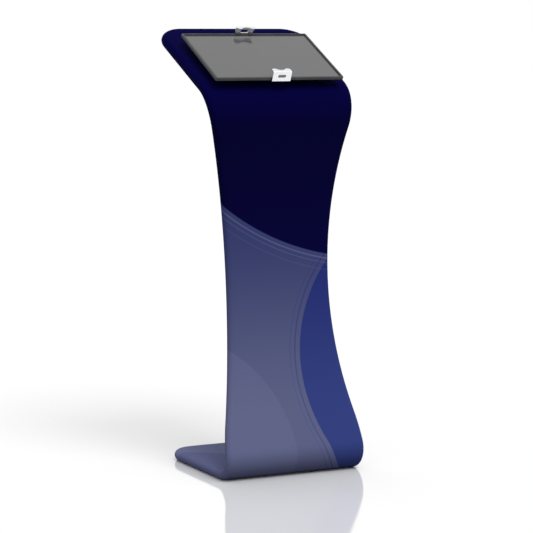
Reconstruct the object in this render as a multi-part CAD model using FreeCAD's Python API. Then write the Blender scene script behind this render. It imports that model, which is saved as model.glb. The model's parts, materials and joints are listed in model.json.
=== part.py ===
"""Floor-standing tablet stand: a stretched fabric cover over a bent tube loop, a steel base
plate in the foot, and a sprung two-jaw holder that grips a tablet over the sloping head.

Millimetres. X is to the right of someone who faces the stand, Y points to its back, Z is up.
The origin is on the floor, at the middle of the foot's length and width.
"""
import FreeCAD, Part
import math
import os

V = FreeCAD.Vector
ACROSS = V(1, 0, 0)

# Side view of the tube's centre line, measured from the foot's front corner on the floor line
FOOT_LENGTH = 348.0
WAIST_SETBACK = 178.5
WAIST_HEIGHT = 495.5
NECK_SETBACK = 89.3
NECK_HEIGHT = 920.5
HEAD_LENGTH = 364.0
HEAD_TILT = 26.1
FOOT_BEND_RADIUS = 45.0
WAIST_BEND_RADIUS = 1270.0
NECK_BEND_RADIUS = 90.0

# Front view of the tube's centre line, unrolled along its side view
FOOT_HALF_WIDTH = 192.5
FOOT_TAPER = 0.046
HEAD_HALF_WIDTH = 196.5
HEAD_TAPER = 0.026
WAIST_HALF_WIDTH = 127.3
WAIST_STATION = 791.0
WAIST_SIDE_RADIUS = 1660.0
FOOT_BLEND_RADIUS = 550.0
HEAD_BLEND_RADIUS = 500.0
FOOT_CORNER_RADIUS = 45.0
HEAD_CORNER_RADIUS = 56.0

# Tube loop, cut into four lengths that join on spigots
TUBE_DIAMETER = 25.0
TUBE_WALL = 1.2
LOWER_JOINT_STATION = 500.0
UPPER_JOINT_STATION = 1090.0
SPIGOT_LENGTH = 90.0
SPIGOT_WALL = 1.5
SPIGOT_CLEARANCE = 0.15
BUTTON_DIAMETER = 8.0
BUTTON_FIT = 0.1
BUTTON_OFFSET = 25.0
BUTTON_PROUD = 2.5
BUTTON_FLANGE_DIAMETER = 11.0
BUTTON_FLANGE = 1.5
BUTTON_DOME = 1.2
RIVET_DIAMETER = 4.0
RIVET_HEAD_DIAMETER = 7.5
RIVET_HEAD = 1.6
RIVET_TAIL = 1.2

# Fabric cover and its zip along the foot's rear edge
FABRIC_WALL = 0.5
FABRIC_EASE = 0.15
FOOT_BEND_STEP = 14.0
FOOT_BLEND_STEP = 40.0
UPRIGHT_STEP = 90.0
NECK_BEND_STEP = 24.0
SOFT_GAP = 0.45
ZIP_LENGTH = 260.0
ZIP_SLOT = 5.0
ZIP_END_MARGIN = 5.0
TAPE_WIDTH = 10.0
TAPE_THICKNESS = 0.5
TOOTH_PITCH = 5.0
TOOTH_WIDTH = 2.6
TOOTH_HEIGHT = 3.6
TOOTH_DEPTH = 1.8
SLIDER_LENGTH = 12.0
SLIDER_WIDTH = 9.0
SLIDER_PLATE = 1.0
SLIDER_GAP = 0.4
EAR_LENGTH = 3.2
EAR_THICKNESS = 1.0
PULL_LENGTH = 22.0
PULL_WIDTH = 7.0
PULL_THICKNESS = 1.2
PULL_NECK = 3.4
PULL_NECK_LAP = 1.0
PULL_PIN_DIAMETER = 1.6
PULL_EYE_WALL = 0.7
PULL_FIT = 0.08

# Base plate in the foot and carrier plate in the head, each screwed down on welded lugs
BASE_PLATE_WIDTH = 300.0
BASE_PLATE_LENGTH = 230.0
BASE_PLATE_THICKNESS = 6.0
BASE_PLATE_OFFSET = 20.0
BASE_LUG_THICKNESS = 5.0
BASE_LUG_SPREAD = 170.0
BASE_SCREW_DIAMETER = 6.0
HEAD_PLATE_WIDTH = 300.0
HEAD_PLATE_LENGTH = 200.0
HEAD_PLATE_THICKNESS = 3.0
HEAD_LUG_THICKNESS = 4.0
HEAD_LUG_SPREAD = 150.0
HEAD_SCREW_DIAMETER = 5.0
PLATE_CORNER_RADIUS = 15.0
LUG_WIDTH = 30.0
LUG_LAP = 24.0
SCREW_RECESS = 0.3

# Tablet, held parallel to the head
TABLET_WIDTH = 349.0
TABLET_LENGTH = 246.0
TABLET_THICKNESS = 8.0
TABLET_STATION = 160.2
TABLET_TOP = 40.6
TABLET_CORNER_RADIUS = 4.0
TABLET_EDGE_RADIUS = 1.5
RIM_EDGE_RADIUS = 0.6
RIM_WIDTH = 5.0
RIM_HEIGHT = 3.0
GLASS_THICKNESS = 1.1
GLASS_FIT = 0.1
GLASS_CORNER_RADIUS = 2.0
LEDGE_WIDTH = 3.0
TABLET_FLOOR = 1.2
DISPLAY_THICKNESS = 1.2
DISPLAY_INSET = 1.0
BATTERY_THICKNESS = 1.4
CELL_WIDTH = 120.0
CELL_LENGTH = 150.0
CELL_SPREAD = 124.0
CELL_SETBACK = 20.0
BOARD_WIDTH = 240.0
BOARD_LENGTH = 40.0
BOARD_THICKNESS = 0.8
BOARD_PLACE = 82.0
CHIP_SIZE = 14.0
CHIP_PLACES = (-73.0, -33.0, 17.0, 67.0)
KEY_HEIGHT = 2.4
KEY_PROUD = 0.6
KEY_DEPTH = 2.2
KEY_FIT = 0.12
KEY_TRAVEL = 0.5
POWER_KEY_LENGTH = 11.0
VOLUME_KEY_LENGTH = 24.0
POWER_KEY_INSET = 33.5
VOLUME_KEY_INSET = 61.5
PORT_WIDTH = 9.4
PORT_HEIGHT = 3.2
PORT_DEPTH = 5.0

# Holder under the tablet: a housing with two racks, one pinion and a clock spring
HOLDER_FLANGE_WIDTH = 100.0
HOLDER_FLANGE_LENGTH = 124.0
HOLDER_FLANGE = 2.5
HOLDER_LENGTH = 156.0
HOLDER_WALL = 3.0
FLANGE_CORNER_RADIUS = 10.0
TRAY_CORNER_RADIUS = 6.0
HOLDER_SCREW_SPREAD_X = 80.0
HOLDER_SCREW_SPREAD_Y = 100.0
HOLDER_SCREW_DIAMETER = 5.0
BUSH_DIAMETER = 12.0
EYELET_GAP = 0.5
LID_THICKNESS = 2.6
LID_SCREW_DIAMETER = 3.0
LID_SCREW_LENGTH = 9.0
RUN_GAP = 0.15
RACK_HEIGHT = 6.0
RACK_ENGAGEMENT = 11.0
RACK_RIVET_DIAMETER = 3.0
MODULE = 1.5
PINION_TEETH = 16
PRESSURE_ANGLE = 20.0
DEDENDUM = 1.25
BACKLASH = 0.3
PINION_PIN_DIAMETER = 6.0
PINION_PIN_FIT = 0.06
HUB_DIAMETER = 9.0
SPRING_TURNS = 3
SPRING_PITCH = 1.6
SPRING_STRIP = 0.5
SPRING_POST_DIAMETER = 2.4
REST_PAD_DIAMETER = 12.0
REST_PAD_CHAMFER = 0.8
REST_PAD_SPREAD_X = 52.0
REST_PAD_SPREAD_Y = 104.0

# Jaws, bent from plate
JAW_THICKNESS = 3.0
JAW_WIDTH = 50.0
JAW_RISE = 19.0
JAW_BEND_RADIUS = 3.0
JAW_LIP = 16.5
JAW_DIP = 9.0
JAW_DIP_RADIUS = 16.0
JAW_HORN_RADIUS = 6.0
JAW_SLOT_LENGTH = 21.0
JAW_SLOT_HEIGHT = 9.0
JAW_SLOT_LIFT = 9.0
JAW_SLOT_RADIUS = 2.5
JAW_BAR_WIDTH = 18.0
JAW_TRAVEL = 18.0
JAW_SHOULDER_GAP = 2.0
JAW_STEP_GAP = 10.0
RACK_SET_IN = 0.5
PAD_THICKNESS = 1.5
PAD_WIDTH = 44.0
PAD_CORNER_RADIUS = 1.5
PAD_CLEARANCE = 0.1
CUT_MARGIN = 1.0

# Sizes that follow from those above
TUBE_RADIUS = TUBE_DIAMETER / 2
COVER_INNER = TUBE_RADIUS + FABRIC_EASE
COVER_OUTER = COVER_INNER + FABRIC_WALL
FOOT_LEVEL = COVER_OUTER
TABLET_BOTTOM = TABLET_TOP - TABLET_THICKNESS
POWER_KEY_PLACE = POWER_KEY_INSET - TABLET_WIDTH / 2
VOLUME_KEY_PLACE = VOLUME_KEY_INSET - TABLET_WIDTH / 2
PITCH_RADIUS = MODULE * PINION_TEETH / 2
HOLDER_SEAT = COVER_OUTER + SOFT_GAP
HOLDER_FLOOR = HOLDER_SEAT + HOLDER_FLANGE
RACK_LEVEL = HOLDER_FLOOR + RUN_GAP
BAR_LEVEL = RACK_LEVEL + RACK_HEIGHT
LID_LEVEL = BAR_LEVEL + JAW_THICKNESS + RUN_GAP
LID_TOP = LID_LEVEL + LID_THICKNESS
BAR_INNER = PITCH_RADIUS - MODULE + RACK_SET_IN
BAR_OUTER = BAR_INNER + JAW_BAR_WIDTH
HOLDER_INNER_HALF = BAR_OUTER + RUN_GAP
HOLDER_HALF = HOLDER_INNER_HALF + HOLDER_WALL
JAW_INNER_FACE = TABLET_LENGTH / 2 + PAD_CLEARANCE + PAD_THICKNESS
RACK_LENGTH = 2 * (JAW_TRAVEL + RACK_ENGAGEMENT)


def polar(length, degrees):
    """A vector of this length in the side view, turned up from +Y by this angle."""
    angle = math.radians(degrees)
    return V(0, length * math.cos(angle), length * math.sin(angle))


class Corner:
    """The arc that rounds the corner at b between the lines a-b and b-c."""

    def __init__(self, a, b, c, radius):
        into = (b - a).normalize()
        out = (c - b).normalize()
        self.turn = into.getAngle(out)
        self.reach = radius * math.tan(self.turn / 2)
        self.radius = radius
        self.start = b - into * self.reach
        self.end = b + out * self.reach
        self.into = into
        self.out = out
        inward = (out - into).normalize()
        self.centre = b + inward * (radius / math.cos(self.turn / 2))
        self.middle = self.centre - inward * radius

    def at(self, distance):
        """Point and heading at this distance along the arc."""
        side = (self.start - self.centre).normalize()
        angle = distance / self.radius
        point = self.centre + (side * math.cos(angle) + self.into * math.sin(angle)) * self.radius
        heading = self.into * math.cos(angle) - side * math.sin(angle)
        return point, heading


class SideView:
    """The tube's centre line seen from the side, read by its length from the foot's rear end."""

    def __init__(self, points, radii):
        self.points = points
        self.corners = []
        for index, radius in enumerate(radii):
            self.corners.append(Corner(*points[index:index + 3], radius))
        self.bends = []
        station = 0.0
        last = points[0]
        for corner in self.corners:
            station += last.distanceToPoint(corner.start)
            self.bends.append((station, station + corner.turn * corner.radius))
            station = self.bends[-1][1]
            last = corner.end
        self.length = station + last.distanceToPoint(points[-1])

    def at(self, station):
        """Point and heading at this station."""
        last = self.points[0]
        base = 0.0
        for corner, (start, end) in zip(self.corners, self.bends):
            if station <= start:
                return last + corner.into * (station - base), corner.into
            if station <= end:
                return corner.at(station - start)
            last = corner.end
            base = end
        heading = self.corners[-1].out
        return last + heading * (station - base), heading


class Blend:
    """Convex arc that joins a straight side, width = offset + slope * station, to the waist arc."""

    def __init__(self, offset, slope, waist_station, waist_centre, radius, towards_foot):
        self.radius = radius
        lean = math.hypot(1, slope)
        drop = offset - radius * lean - waist_centre
        a = 1 + slope ** 2
        b = 2 * (slope * drop - waist_station)
        c = waist_station ** 2 + drop ** 2 - (WAIST_SIDE_RADIUS + radius) ** 2
        root = math.sqrt(b * b - 4 * a * c)
        self.station = (-b - root) / (2 * a) if towards_foot else (-b + root) / (2 * a)
        self.width = offset + slope * self.station - radius * lean
        self.line_station = self.station - slope * radius / lean
        share = radius / (WAIST_SIDE_RADIUS + radius)
        self.waist_station = self.station + (waist_station - self.station) * share


class FrontView:
    """Half width of the tube's centre line against its station, and the slope of that width."""

    def __init__(self, length):
        self.centre = WAIST_HALF_WIDTH + WAIST_SIDE_RADIUS
        self.head_offset = HEAD_HALF_WIDTH - HEAD_TAPER * length
        self.foot = Blend(FOOT_HALF_WIDTH, -FOOT_TAPER, WAIST_STATION, self.centre,
                          FOOT_BLEND_RADIUS, True)
        self.head = Blend(self.head_offset, HEAD_TAPER, WAIST_STATION, self.centre,
                          HEAD_BLEND_RADIUS, False)

    def at(self, station):
        if station <= self.foot.line_station:
            return FOOT_HALF_WIDTH - FOOT_TAPER * station, -FOOT_TAPER
        if station >= self.head.line_station:
            return self.head_offset + HEAD_TAPER * station, HEAD_TAPER
        for blend, inside in ((self.foot, station < self.foot.waist_station),
                              (self.head, station > self.head.waist_station)):
            if inside:
                along = station - blend.station
                rise = math.sqrt(blend.radius ** 2 - along ** 2)
                return blend.width + rise, -along / rise
        along = station - WAIST_STATION
        rise = math.sqrt(WAIST_SIDE_RADIUS ** 2 - along ** 2)
        return self.centre - rise, along / rise


FOOT_FRONT = V(0, -FOOT_LENGTH / 2, FOOT_LEVEL)
NECK = FOOT_FRONT + V(0, NECK_SETBACK, NECK_HEIGHT)
SIDE = SideView([FOOT_FRONT + V(0, FOOT_LENGTH, 0),
                 FOOT_FRONT,
                 FOOT_FRONT + V(0, WAIST_SETBACK, WAIST_HEIGHT),
                 NECK,
                 NECK + polar(HEAD_LENGTH, HEAD_TILT)],
                [FOOT_BEND_RADIUS, WAIST_BEND_RADIUS, NECK_BEND_RADIUS])
FRONT = FrontView(SIDE.length)
FOOT_CUT = min(SIDE.bends[0][0], FRONT.foot.line_station)
HEAD_CUT = max(SIDE.bends[2][1], FRONT.head.line_station)

FOOT_FRAME = FreeCAD.Placement(SIDE.points[0], FreeCAD.Rotation(ACROSS, 0))
HEAD_END_FRAME = FreeCAD.Placement(SIDE.points[-1], FreeCAD.Rotation(ACROSS, HEAD_TILT))
HOLDER_FRAME = FreeCAD.Placement(NECK + polar(TABLET_STATION, HEAD_TILT),
                                 FreeCAD.Rotation(ACROSS, HEAD_TILT))


def placed(shape, frame):
    """A copy of the shape, moved from the frame's own axes to the stand's."""
    copy = shape.copy()
    copy.Placement = frame.multiply(copy.Placement)
    return copy


def fuse(shapes):
    """One solid from several that touch or overlap."""
    return shapes[0].multiFuse(shapes[1:]).removeSplitter()


def block(x0, x1, y0, y1, z0, z1):
    """Box between two corners."""
    return Part.makeBox(x1 - x0, y1 - y0, z1 - z0, V(x0, y0, z0))


def cylinder(radius, start, end):
    """Round bar from one point to another."""
    return Part.makeCylinder(radius, start.distanceToPoint(end), start, end - start)


def rounded_plate(width, length, radius, z0, z1, centre=V(0, 0, 0)):
    """Flat plate with rounded corners."""
    plate = block(-width / 2, width / 2, -length / 2, length / 2, z0, z1)
    upright = [edge for edge in plate.Edges if abs(edge.BoundBox.ZLength - (z1 - z0)) < 1e-6]
    return plate.makeFillet(radius, upright).translated(centre)


def turned(profile, start, axis):
    """Solid of revolution from (radius, height) points, set on this start along this axis."""
    wire = Part.makePolygon([V(r, 0, h) for r, h in profile + profile[:1]])
    solid = Part.Face(wire).revolve(V(0, 0, 0), V(0, 0, 1), 360)
    solid.Placement = FreeCAD.Placement(start, FreeCAD.Rotation(V(0, 0, 1), axis))
    return solid


def countersunk_screw(diameter, length, top, axis=V(0, 0, 1)):
    """Flat-headed screw whose head is flush at top."""
    radius = diameter / 2
    recess = diameter * SCREW_RECESS
    profile = [(0, -length), (radius, -length), (radius, -radius), (diameter, 0),
               (recess, 0), (recess, -recess), (0, -recess)]
    return turned(profile, top, axis)


def countersunk_hole(diameter, depth, top, clearance):
    """The cut that such a screw drops into."""
    radius = diameter / 2 + clearance
    profile = [(0, -depth), (radius, -depth), (radius, -diameter / 2 - clearance),
               (diameter + clearance, 0), (diameter + clearance, CUT_MARGIN), (0, CUT_MARGIN)]
    return turned(profile, top, V(0, 0, 1))


def arc_leaving(start, heading, end):
    """Edge from start to end that leaves along heading: an arc, or a line where it is straight."""
    chord = end - start
    angle = chord.getAngle(heading)
    if angle < 1e-5:
        return Part.makeLine(start, end)
    along = V(chord).normalize()
    bulge = (heading - along * heading.dot(along)).normalize()
    middle = (start + end) / 2 + bulge * (chord.Length / 2 * math.tan(angle / 2))
    return Part.Arc(start, middle, end).toShape()


def biarc(start, leaving, end, arriving):
    """Two arcs from start to end that meet in line with each other and with both headings."""
    span = end - start
    both = leaving + arriving
    a = 2 * (leaving.dot(arriving) - 1)
    b = -2 * span.dot(both)
    c = span.dot(span)
    if abs(a) < 1e-9:
        reach = -c / b
    else:
        reach = (-b - math.sqrt(b * b - 4 * a * c)) / (2 * a)
    near = start + leaving * reach
    far = end - arriving * reach
    joint = (near + far) / 2
    return [arc_leaving(start, leaving, joint),
            arc_leaving(joint, (far - near).normalize(), end)]


def side_point(side, station):
    """Point and heading of the tube's centre line on the left (-1) or right (+1)."""
    point, heading = SIDE.at(station)
    width, slope = FRONT.at(station)
    return point + ACROSS * (side * width), (heading + ACROSS * (side * slope)).normalize()


def side_edges(side, stations):
    """Arcs along one side of the loop, through these stations in rising or falling order."""
    sense = 1 if stations[-1] > stations[0] else -1
    edges = []
    for here, there in zip(stations, stations[1:]):
        point, heading = side_point(side, here)
        next_point, next_heading = side_point(side, there)
        edges += biarc(point, heading * sense, next_point, next_heading * sense)
    return edges


def end_corner(half_width, taper, radius):
    """Corner of a flat end, in plan with y = 0 on the end bar: its centre and its side's normal."""
    lean = math.hypot(1, taper)
    centre = V(half_width - radius * (lean + taper), -radius, 0)
    return centre, V(1 / lean, -taper / lean, 0)


def end_edges(frame, half_width, taper, radius, depth):
    """Tube path round a flat end: in along the left side, across, and back on the right."""
    centre, normal = end_corner(half_width, taper, radius)
    diagonal = (normal + V(0, 1, 0)).normalize()
    right = [V(half_width - taper * depth, -depth, 0), centre + normal * radius,
             centre + diagonal * radius, centre + V(0, radius, 0)]
    left = [V(-point.x, point.y, 0) for point in right]
    edges = [Part.makeLine(left[0], left[1]),
             Part.Arc(left[1], left[2], left[3]).toShape(),
             Part.makeLine(left[3], right[3]),
             Part.Arc(right[3], right[2], right[1]).toShape(),
             Part.makeLine(right[1], right[0])]
    return [placed(edge, frame) for edge in edges]


def pipe(edges, radius):
    """Round bar swept along joined edges."""
    path = Part.Wire(edges)
    first = edges[0]
    heading = first.tangentAt(first.FirstParameter)
    start = first.valueAt(first.FirstParameter)
    ring = Part.Wire([Part.makeCircle(radius, start, heading)])
    return path.makePipeShell([ring], True, False)


def tube(edges):
    """Hollow tube along joined edges."""
    return pipe(edges, TUBE_RADIUS).cut(pipe(edges, TUBE_RADIUS - TUBE_WALL))


def path_stations(start, end):
    """Stations from start to end, with each place where a bend starts, peaks or stops."""
    marks = [FRONT.foot.line_station, FRONT.foot.waist_station, WAIST_STATION,
             FRONT.head.waist_station, FRONT.head.line_station]
    for bend_start, bend_end in SIDE.bends:
        marks += [bend_start, (bend_start + bend_end) / 2, bend_end]
    return [start] + sorted(mark for mark in marks if start < mark < end) + [end]


def foot_path():
    """The foot's loop, from the left joint down and round to the right joint."""
    rising = path_stations(FOOT_CUT, LOWER_JOINT_STATION)
    around = end_edges(FOOT_FRAME, FOOT_HALF_WIDTH, FOOT_TAPER, FOOT_CORNER_RADIUS, FOOT_CUT)
    return side_edges(-1, rising[::-1]) + around + side_edges(1, rising)


def head_path():
    """The head's loop, from the left joint up and round to the right joint."""
    rising = path_stations(UPPER_JOINT_STATION, HEAD_CUT)
    around = end_edges(HEAD_END_FRAME, HEAD_HALF_WIDTH, HEAD_TAPER, HEAD_CORNER_RADIUS,
                       SIDE.length - HEAD_CUT)
    return side_edges(-1, rising) + around + side_edges(1, rising[::-1])


def end_slab(half_width, taper, corner_radius, depth, radius):
    """One flat end of the cover's form: a slab with half-round edges, in the end bar's frame."""
    centre, normal = end_corner(half_width, taper, corner_radius)
    along = V(-normal.y, normal.x, 0) * -1
    quarter = [V(0, 0, -radius), V(corner_radius, 0, -radius),
               V(corner_radius + radius, 0, 0), V(corner_radius, 0, radius), V(0, 0, radius)]
    section = Part.Face(Part.Wire([
        Part.makeLine(quarter[0], quarter[1]),
        Part.Arc(quarter[1], quarter[2], quarter[3]).toShape(),
        Part.makeLine(quarter[3], quarter[4]),
        Part.makeLine(quarter[4], quarter[0])]))
    turn = 90 + math.degrees(math.atan(taper))
    fan = section.rotated(V(0, 0, 0), V(0, 0, 1), 90 - turn)
    fan = fan.revolve(V(0, 0, 0), V(0, 0, 1), turn).translated(centre)
    rear = section.rotated(V(0, 0, 0), V(0, 0, 1), 90).translated(V(-centre.x, centre.y, 0))
    rear = rear.extrude(V(2 * centre.x, 0, 0))
    strip = section.rotated(V(0, 0, 0), V(0, 0, 1), 90 - turn).translated(centre)
    strip = strip.extrude(along * (2 * depth))
    keep = block(0, half_width * 2, -depth, 0, -radius, radius)
    strip = strip.common(keep)
    inner = centre.x - taper * (depth - corner_radius)
    outline = [centre, V(-centre.x, centre.y, 0), V(-inner, -depth, 0), V(inner, -depth, 0), centre]
    core = Part.Face(Part.makePolygon(outline)).translated(V(0, 0, -radius))
    core = core.extrude(V(0, 0, 2 * radius))
    mirrored = [piece.mirror(V(0, 0, 0), ACROSS) for piece in (fan, strip)]
    return fuse([core, rear, fan, strip] + mirrored)


def cover_section(station, radius):
    """Closed outline of the cover at a station: two straight runs joined by rounded ends."""
    point, heading = SIDE.at(station)
    width, slope = FRONT.at(station)
    face = heading.cross(ACROSS)
    stretch = radius * math.hypot(1, slope)
    edges = []
    for side in (1, -1):
        centre = point + ACROSS * (side * width)
        for first, second in ((1, -1), (-1, 1)):
            round_end = Part.Ellipse(centre + ACROSS * (side * stretch),
                                     centre + face * (first * radius), centre)
            edges.append(Part.Arc(round_end, 0, math.pi / 2).toShape())
        edges.append(Part.makeLine(centre + face * (side * radius),
                                   point - ACROSS * (side * width) + face * (side * radius)))
    return Part.Wire(Part.__sortEdges__(edges))


def cover_length(start, end, longest, radius):
    """Length of the cover's form between two stations, through evenly spaced sections."""
    count = math.ceil((end - start) / longest)
    stations = [start + (end - start) * index / count for index in range(count + 1)]
    return Part.makeLoft([cover_section(station, radius) for station in stations], True, False)


def cover_body(radius):
    """Solid of the whole cover's form at this distance round the tube's centre line."""
    (_, foot_bend_end), _, (neck_bend_start, _) = SIDE.bends
    blend_end = FRONT.foot.waist_station
    lengths = [cover_length(FOOT_CUT, foot_bend_end, FOOT_BEND_STEP, radius),
               cover_length(foot_bend_end, blend_end, FOOT_BLEND_STEP, radius),
               cover_length(blend_end, neck_bend_start, UPRIGHT_STEP, radius),
               cover_length(neck_bend_start, HEAD_CUT, NECK_BEND_STEP, radius)]
    foot = end_slab(FOOT_HALF_WIDTH, FOOT_TAPER, FOOT_CORNER_RADIUS, FOOT_CUT, radius)
    head = end_slab(HEAD_HALF_WIDTH, HEAD_TAPER, HEAD_CORNER_RADIUS,
                    SIDE.length - HEAD_CUT, radius)
    return lengths[0].multiFuse(lengths[1:] + [placed(foot, FOOT_FRAME),
                                               placed(head, HEAD_END_FRAME)])


def holder_screw_places():
    """The four places of the holder's fixing screws, in the holder's frame."""
    places = []
    for x in (-HOLDER_SCREW_SPREAD_X / 2, HOLDER_SCREW_SPREAD_X / 2):
        for y in (-HOLDER_SCREW_SPREAD_Y / 2, HOLDER_SCREW_SPREAD_Y / 2):
            places.append(V(x, y, 0))
    return places


def fabric_cover():
    cover = cover_body(COVER_OUTER).cut(cover_body(COVER_INNER))
    eyelets = []
    for place in holder_screw_places():
        hole = cylinder(BUSH_DIAMETER / 2 + EYELET_GAP, place + V(0, 0, TUBE_RADIUS / 2),
                        place + V(0, 0, COVER_OUTER + CUT_MARGIN))
        eyelets.append(placed(hole, HOLDER_FRAME))
    slot = block(-ZIP_LENGTH / 2, ZIP_LENGTH / 2, TUBE_RADIUS / 2, COVER_OUTER + CUT_MARGIN,
                 -ZIP_SLOT / 2, ZIP_SLOT / 2)
    return cover.cut(Part.makeCompound(eyelets + [placed(slot, FOOT_FRAME)]))


def zip_tapes():
    """Two strips sewn on along the slot, bent to the foot's round rear edge."""
    ring = Part.makeCylinder(COVER_OUTER + TAPE_THICKNESS, ZIP_LENGTH,
                             V(-ZIP_LENGTH / 2, 0, 0), ACROSS)
    ring = ring.cut(Part.makeCylinder(COVER_OUTER, ZIP_LENGTH, V(-ZIP_LENGTH / 2, 0, 0), ACROSS))
    strips = []
    for low in (ZIP_SLOT / 2, -ZIP_SLOT / 2 - TAPE_WIDTH):
        window = block(-ZIP_LENGTH, ZIP_LENGTH, 0, 2 * COVER_OUTER, low, low + TAPE_WIDTH)
        strips.append(placed(ring.common(window), FOOT_FRAME))
    return Part.makeCompound(strips)


def zip_teeth():
    """Interlocked teeth, taken in turn from the upper and the lower tape."""
    count = int(ZIP_LENGTH / TOOTH_PITCH) - 1
    teeth = []
    for index in range(count):
        x = (index - (count - 1) / 2) * TOOTH_PITCH
        shift = (ZIP_SLOT - TOOTH_HEIGHT) / 2 * (1 if index % 2 else -1)
        tooth = block(x - TOOTH_WIDTH / 2, x + TOOTH_WIDTH / 2,
                      COVER_INNER, COVER_INNER + TOOTH_DEPTH,
                      shift - TOOTH_HEIGHT / 2, shift + TOOTH_HEIGHT / 2)
        teeth.append(placed(tooth, FOOT_FRAME))
    return Part.makeCompound(teeth)


SLIDER_FACE = COVER_INNER + TOOTH_DEPTH + SLIDER_GAP
SLIDER_PLACE = ZIP_LENGTH / 2 - SLIDER_LENGTH / 2 - ZIP_END_MARGIN
PULL_AXIS = SLIDER_FACE + SLIDER_PLATE + PULL_PIN_DIAMETER


def zip_slider():
    """Slider plate with the two ears that hold the pull's pin."""
    plate = rounded_plate(SLIDER_LENGTH, SLIDER_WIDTH, SLIDER_WIDTH / 4, 0, SLIDER_PLATE)
    ears = []
    for side in (-1, 1):
        middle = side * PULL_WIDTH / 4
        ears.append(block(-EAR_LENGTH / 2, EAR_LENGTH / 2, middle - EAR_THICKNESS / 2,
                          middle + EAR_THICKNESS / 2, SLIDER_PLATE,
                          SLIDER_PLATE + 2 * PULL_PIN_DIAMETER))
    pin = cylinder(PULL_PIN_DIAMETER / 2, V(0, -PULL_WIDTH / 4, SLIDER_PLATE + PULL_PIN_DIAMETER),
                   V(0, PULL_WIDTH / 4, SLIDER_PLATE + PULL_PIN_DIAMETER))
    body = fuse([plate, pin] + ears)
    body.rotate(V(0, 0, 0), ACROSS, -90)
    body.translate(V(SLIDER_PLACE, SLIDER_FACE, 0))
    return placed(body, FOOT_FRAME)


def zip_pull():
    """Flat tab with an eye round the slider's pin, lying along the zip."""
    eye_width = PULL_WIDTH / 2 - EAR_THICKNESS - 2 * PULL_FIT
    eye = cylinder(PULL_PIN_DIAMETER / 2 + PULL_EYE_WALL, V(0, -eye_width / 2, 0),
                   V(0, eye_width / 2, 0))
    tab = rounded_plate(PULL_LENGTH, PULL_WIDTH, PULL_WIDTH * 0.45,
                        -PULL_THICKNESS / 2, PULL_THICKNESS / 2)
    tab = tab.cut(cylinder(PULL_WIDTH / 4, V(-PULL_LENGTH / 4, 0, -PULL_THICKNESS),
                           V(-PULL_LENGTH / 4, 0, PULL_THICKNESS)))
    tab.translate(V(-PULL_LENGTH / 2 - PULL_NECK + PULL_NECK_LAP, 0, 0))
    neck = block(-PULL_NECK, 0, -eye_width / 2, eye_width / 2,
                 -PULL_THICKNESS / 2, PULL_THICKNESS / 2)
    bore = cylinder(PULL_PIN_DIAMETER / 2 + PULL_FIT, V(0, -PULL_WIDTH, 0), V(0, PULL_WIDTH, 0))
    pull = fuse([eye, neck, tab]).cut(bore)
    pull.rotate(V(0, 0, 0), ACROSS, -90)
    pull.translate(V(SLIDER_PLACE, PULL_AXIS, 0))
    return placed(pull, FOOT_FRAME)


def joint_stations():
    return {"lower": LOWER_JOINT_STATION, "upper": UPPER_JOINT_STATION}


def side_names():
    return {"left": -1, "right": 1}


def drilled(shape, holes):
    """The shape with each hole cut in turn, without the discs that the cuts free."""
    for hole in holes:
        shape = max(shape.cut(hole).Solids, key=lambda solid: solid.Volume)
    return shape


def button_hole(side, station, radius):
    """Cut for a snap button, from the tube's centre out through the wall that faces the loop."""
    centre, _ = side_point(side, station + BUTTON_OFFSET)
    return cylinder(radius, centre, centre - ACROSS * (side * TUBE_DIAMETER))


def rivet_axis(side, station):
    """Centre of the tube at a joint's rivet, and the way in towards the loop's other side."""
    centre, heading = side_point(side, station - BUTTON_OFFSET)
    across = ACROSS * -side
    return centre, (across - heading * heading.dot(across)).normalize()


def rivet_hole(side, station):
    centre, inward = rivet_axis(side, station)
    return cylinder(RIVET_DIAMETER / 2, centre, centre + inward * TUBE_DIAMETER)


def spigot(side, station):
    """Sleeve inside a joint, riveted into the lower tube, with the hole for its snap button."""
    outer = TUBE_RADIUS - TUBE_WALL - SPIGOT_CLEARANCE
    edges = side_edges(side, [station - SPIGOT_LENGTH / 2, station, station + SPIGOT_LENGTH / 2])
    sleeve = pipe(edges, outer).cut(pipe(edges, outer - SPIGOT_WALL))
    return drilled(sleeve, [button_hole(side, station, BUTTON_DIAMETER / 2),
                            rivet_hole(side, station)])


def snap_button(side, station):
    """Domed button with a flange that stops it inside the spigot's bore."""
    centre, _ = side_point(side, station + BUTTON_OFFSET)
    bore = TUBE_RADIUS - TUBE_WALL - SPIGOT_CLEARANCE - SPIGOT_WALL
    flange_radius = BUTTON_FLANGE_DIAMETER / 2
    seat = math.sqrt(bore ** 2 - flange_radius ** 2) - 2 * BUTTON_FIT
    shank = BUTTON_DIAMETER / 2 - BUTTON_FIT
    tip = TUBE_RADIUS + BUTTON_PROUD
    profile = [(0, seat - BUTTON_FLANGE), (flange_radius, seat - BUTTON_FLANGE),
               (flange_radius, seat), (shank, seat), (shank, tip - BUTTON_DOME),
               (shank * 0.85, tip - BUTTON_DOME * 0.4), (shank * 0.5, tip), (0, tip)]
    return turned(profile, centre, ACROSS * -side)


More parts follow.
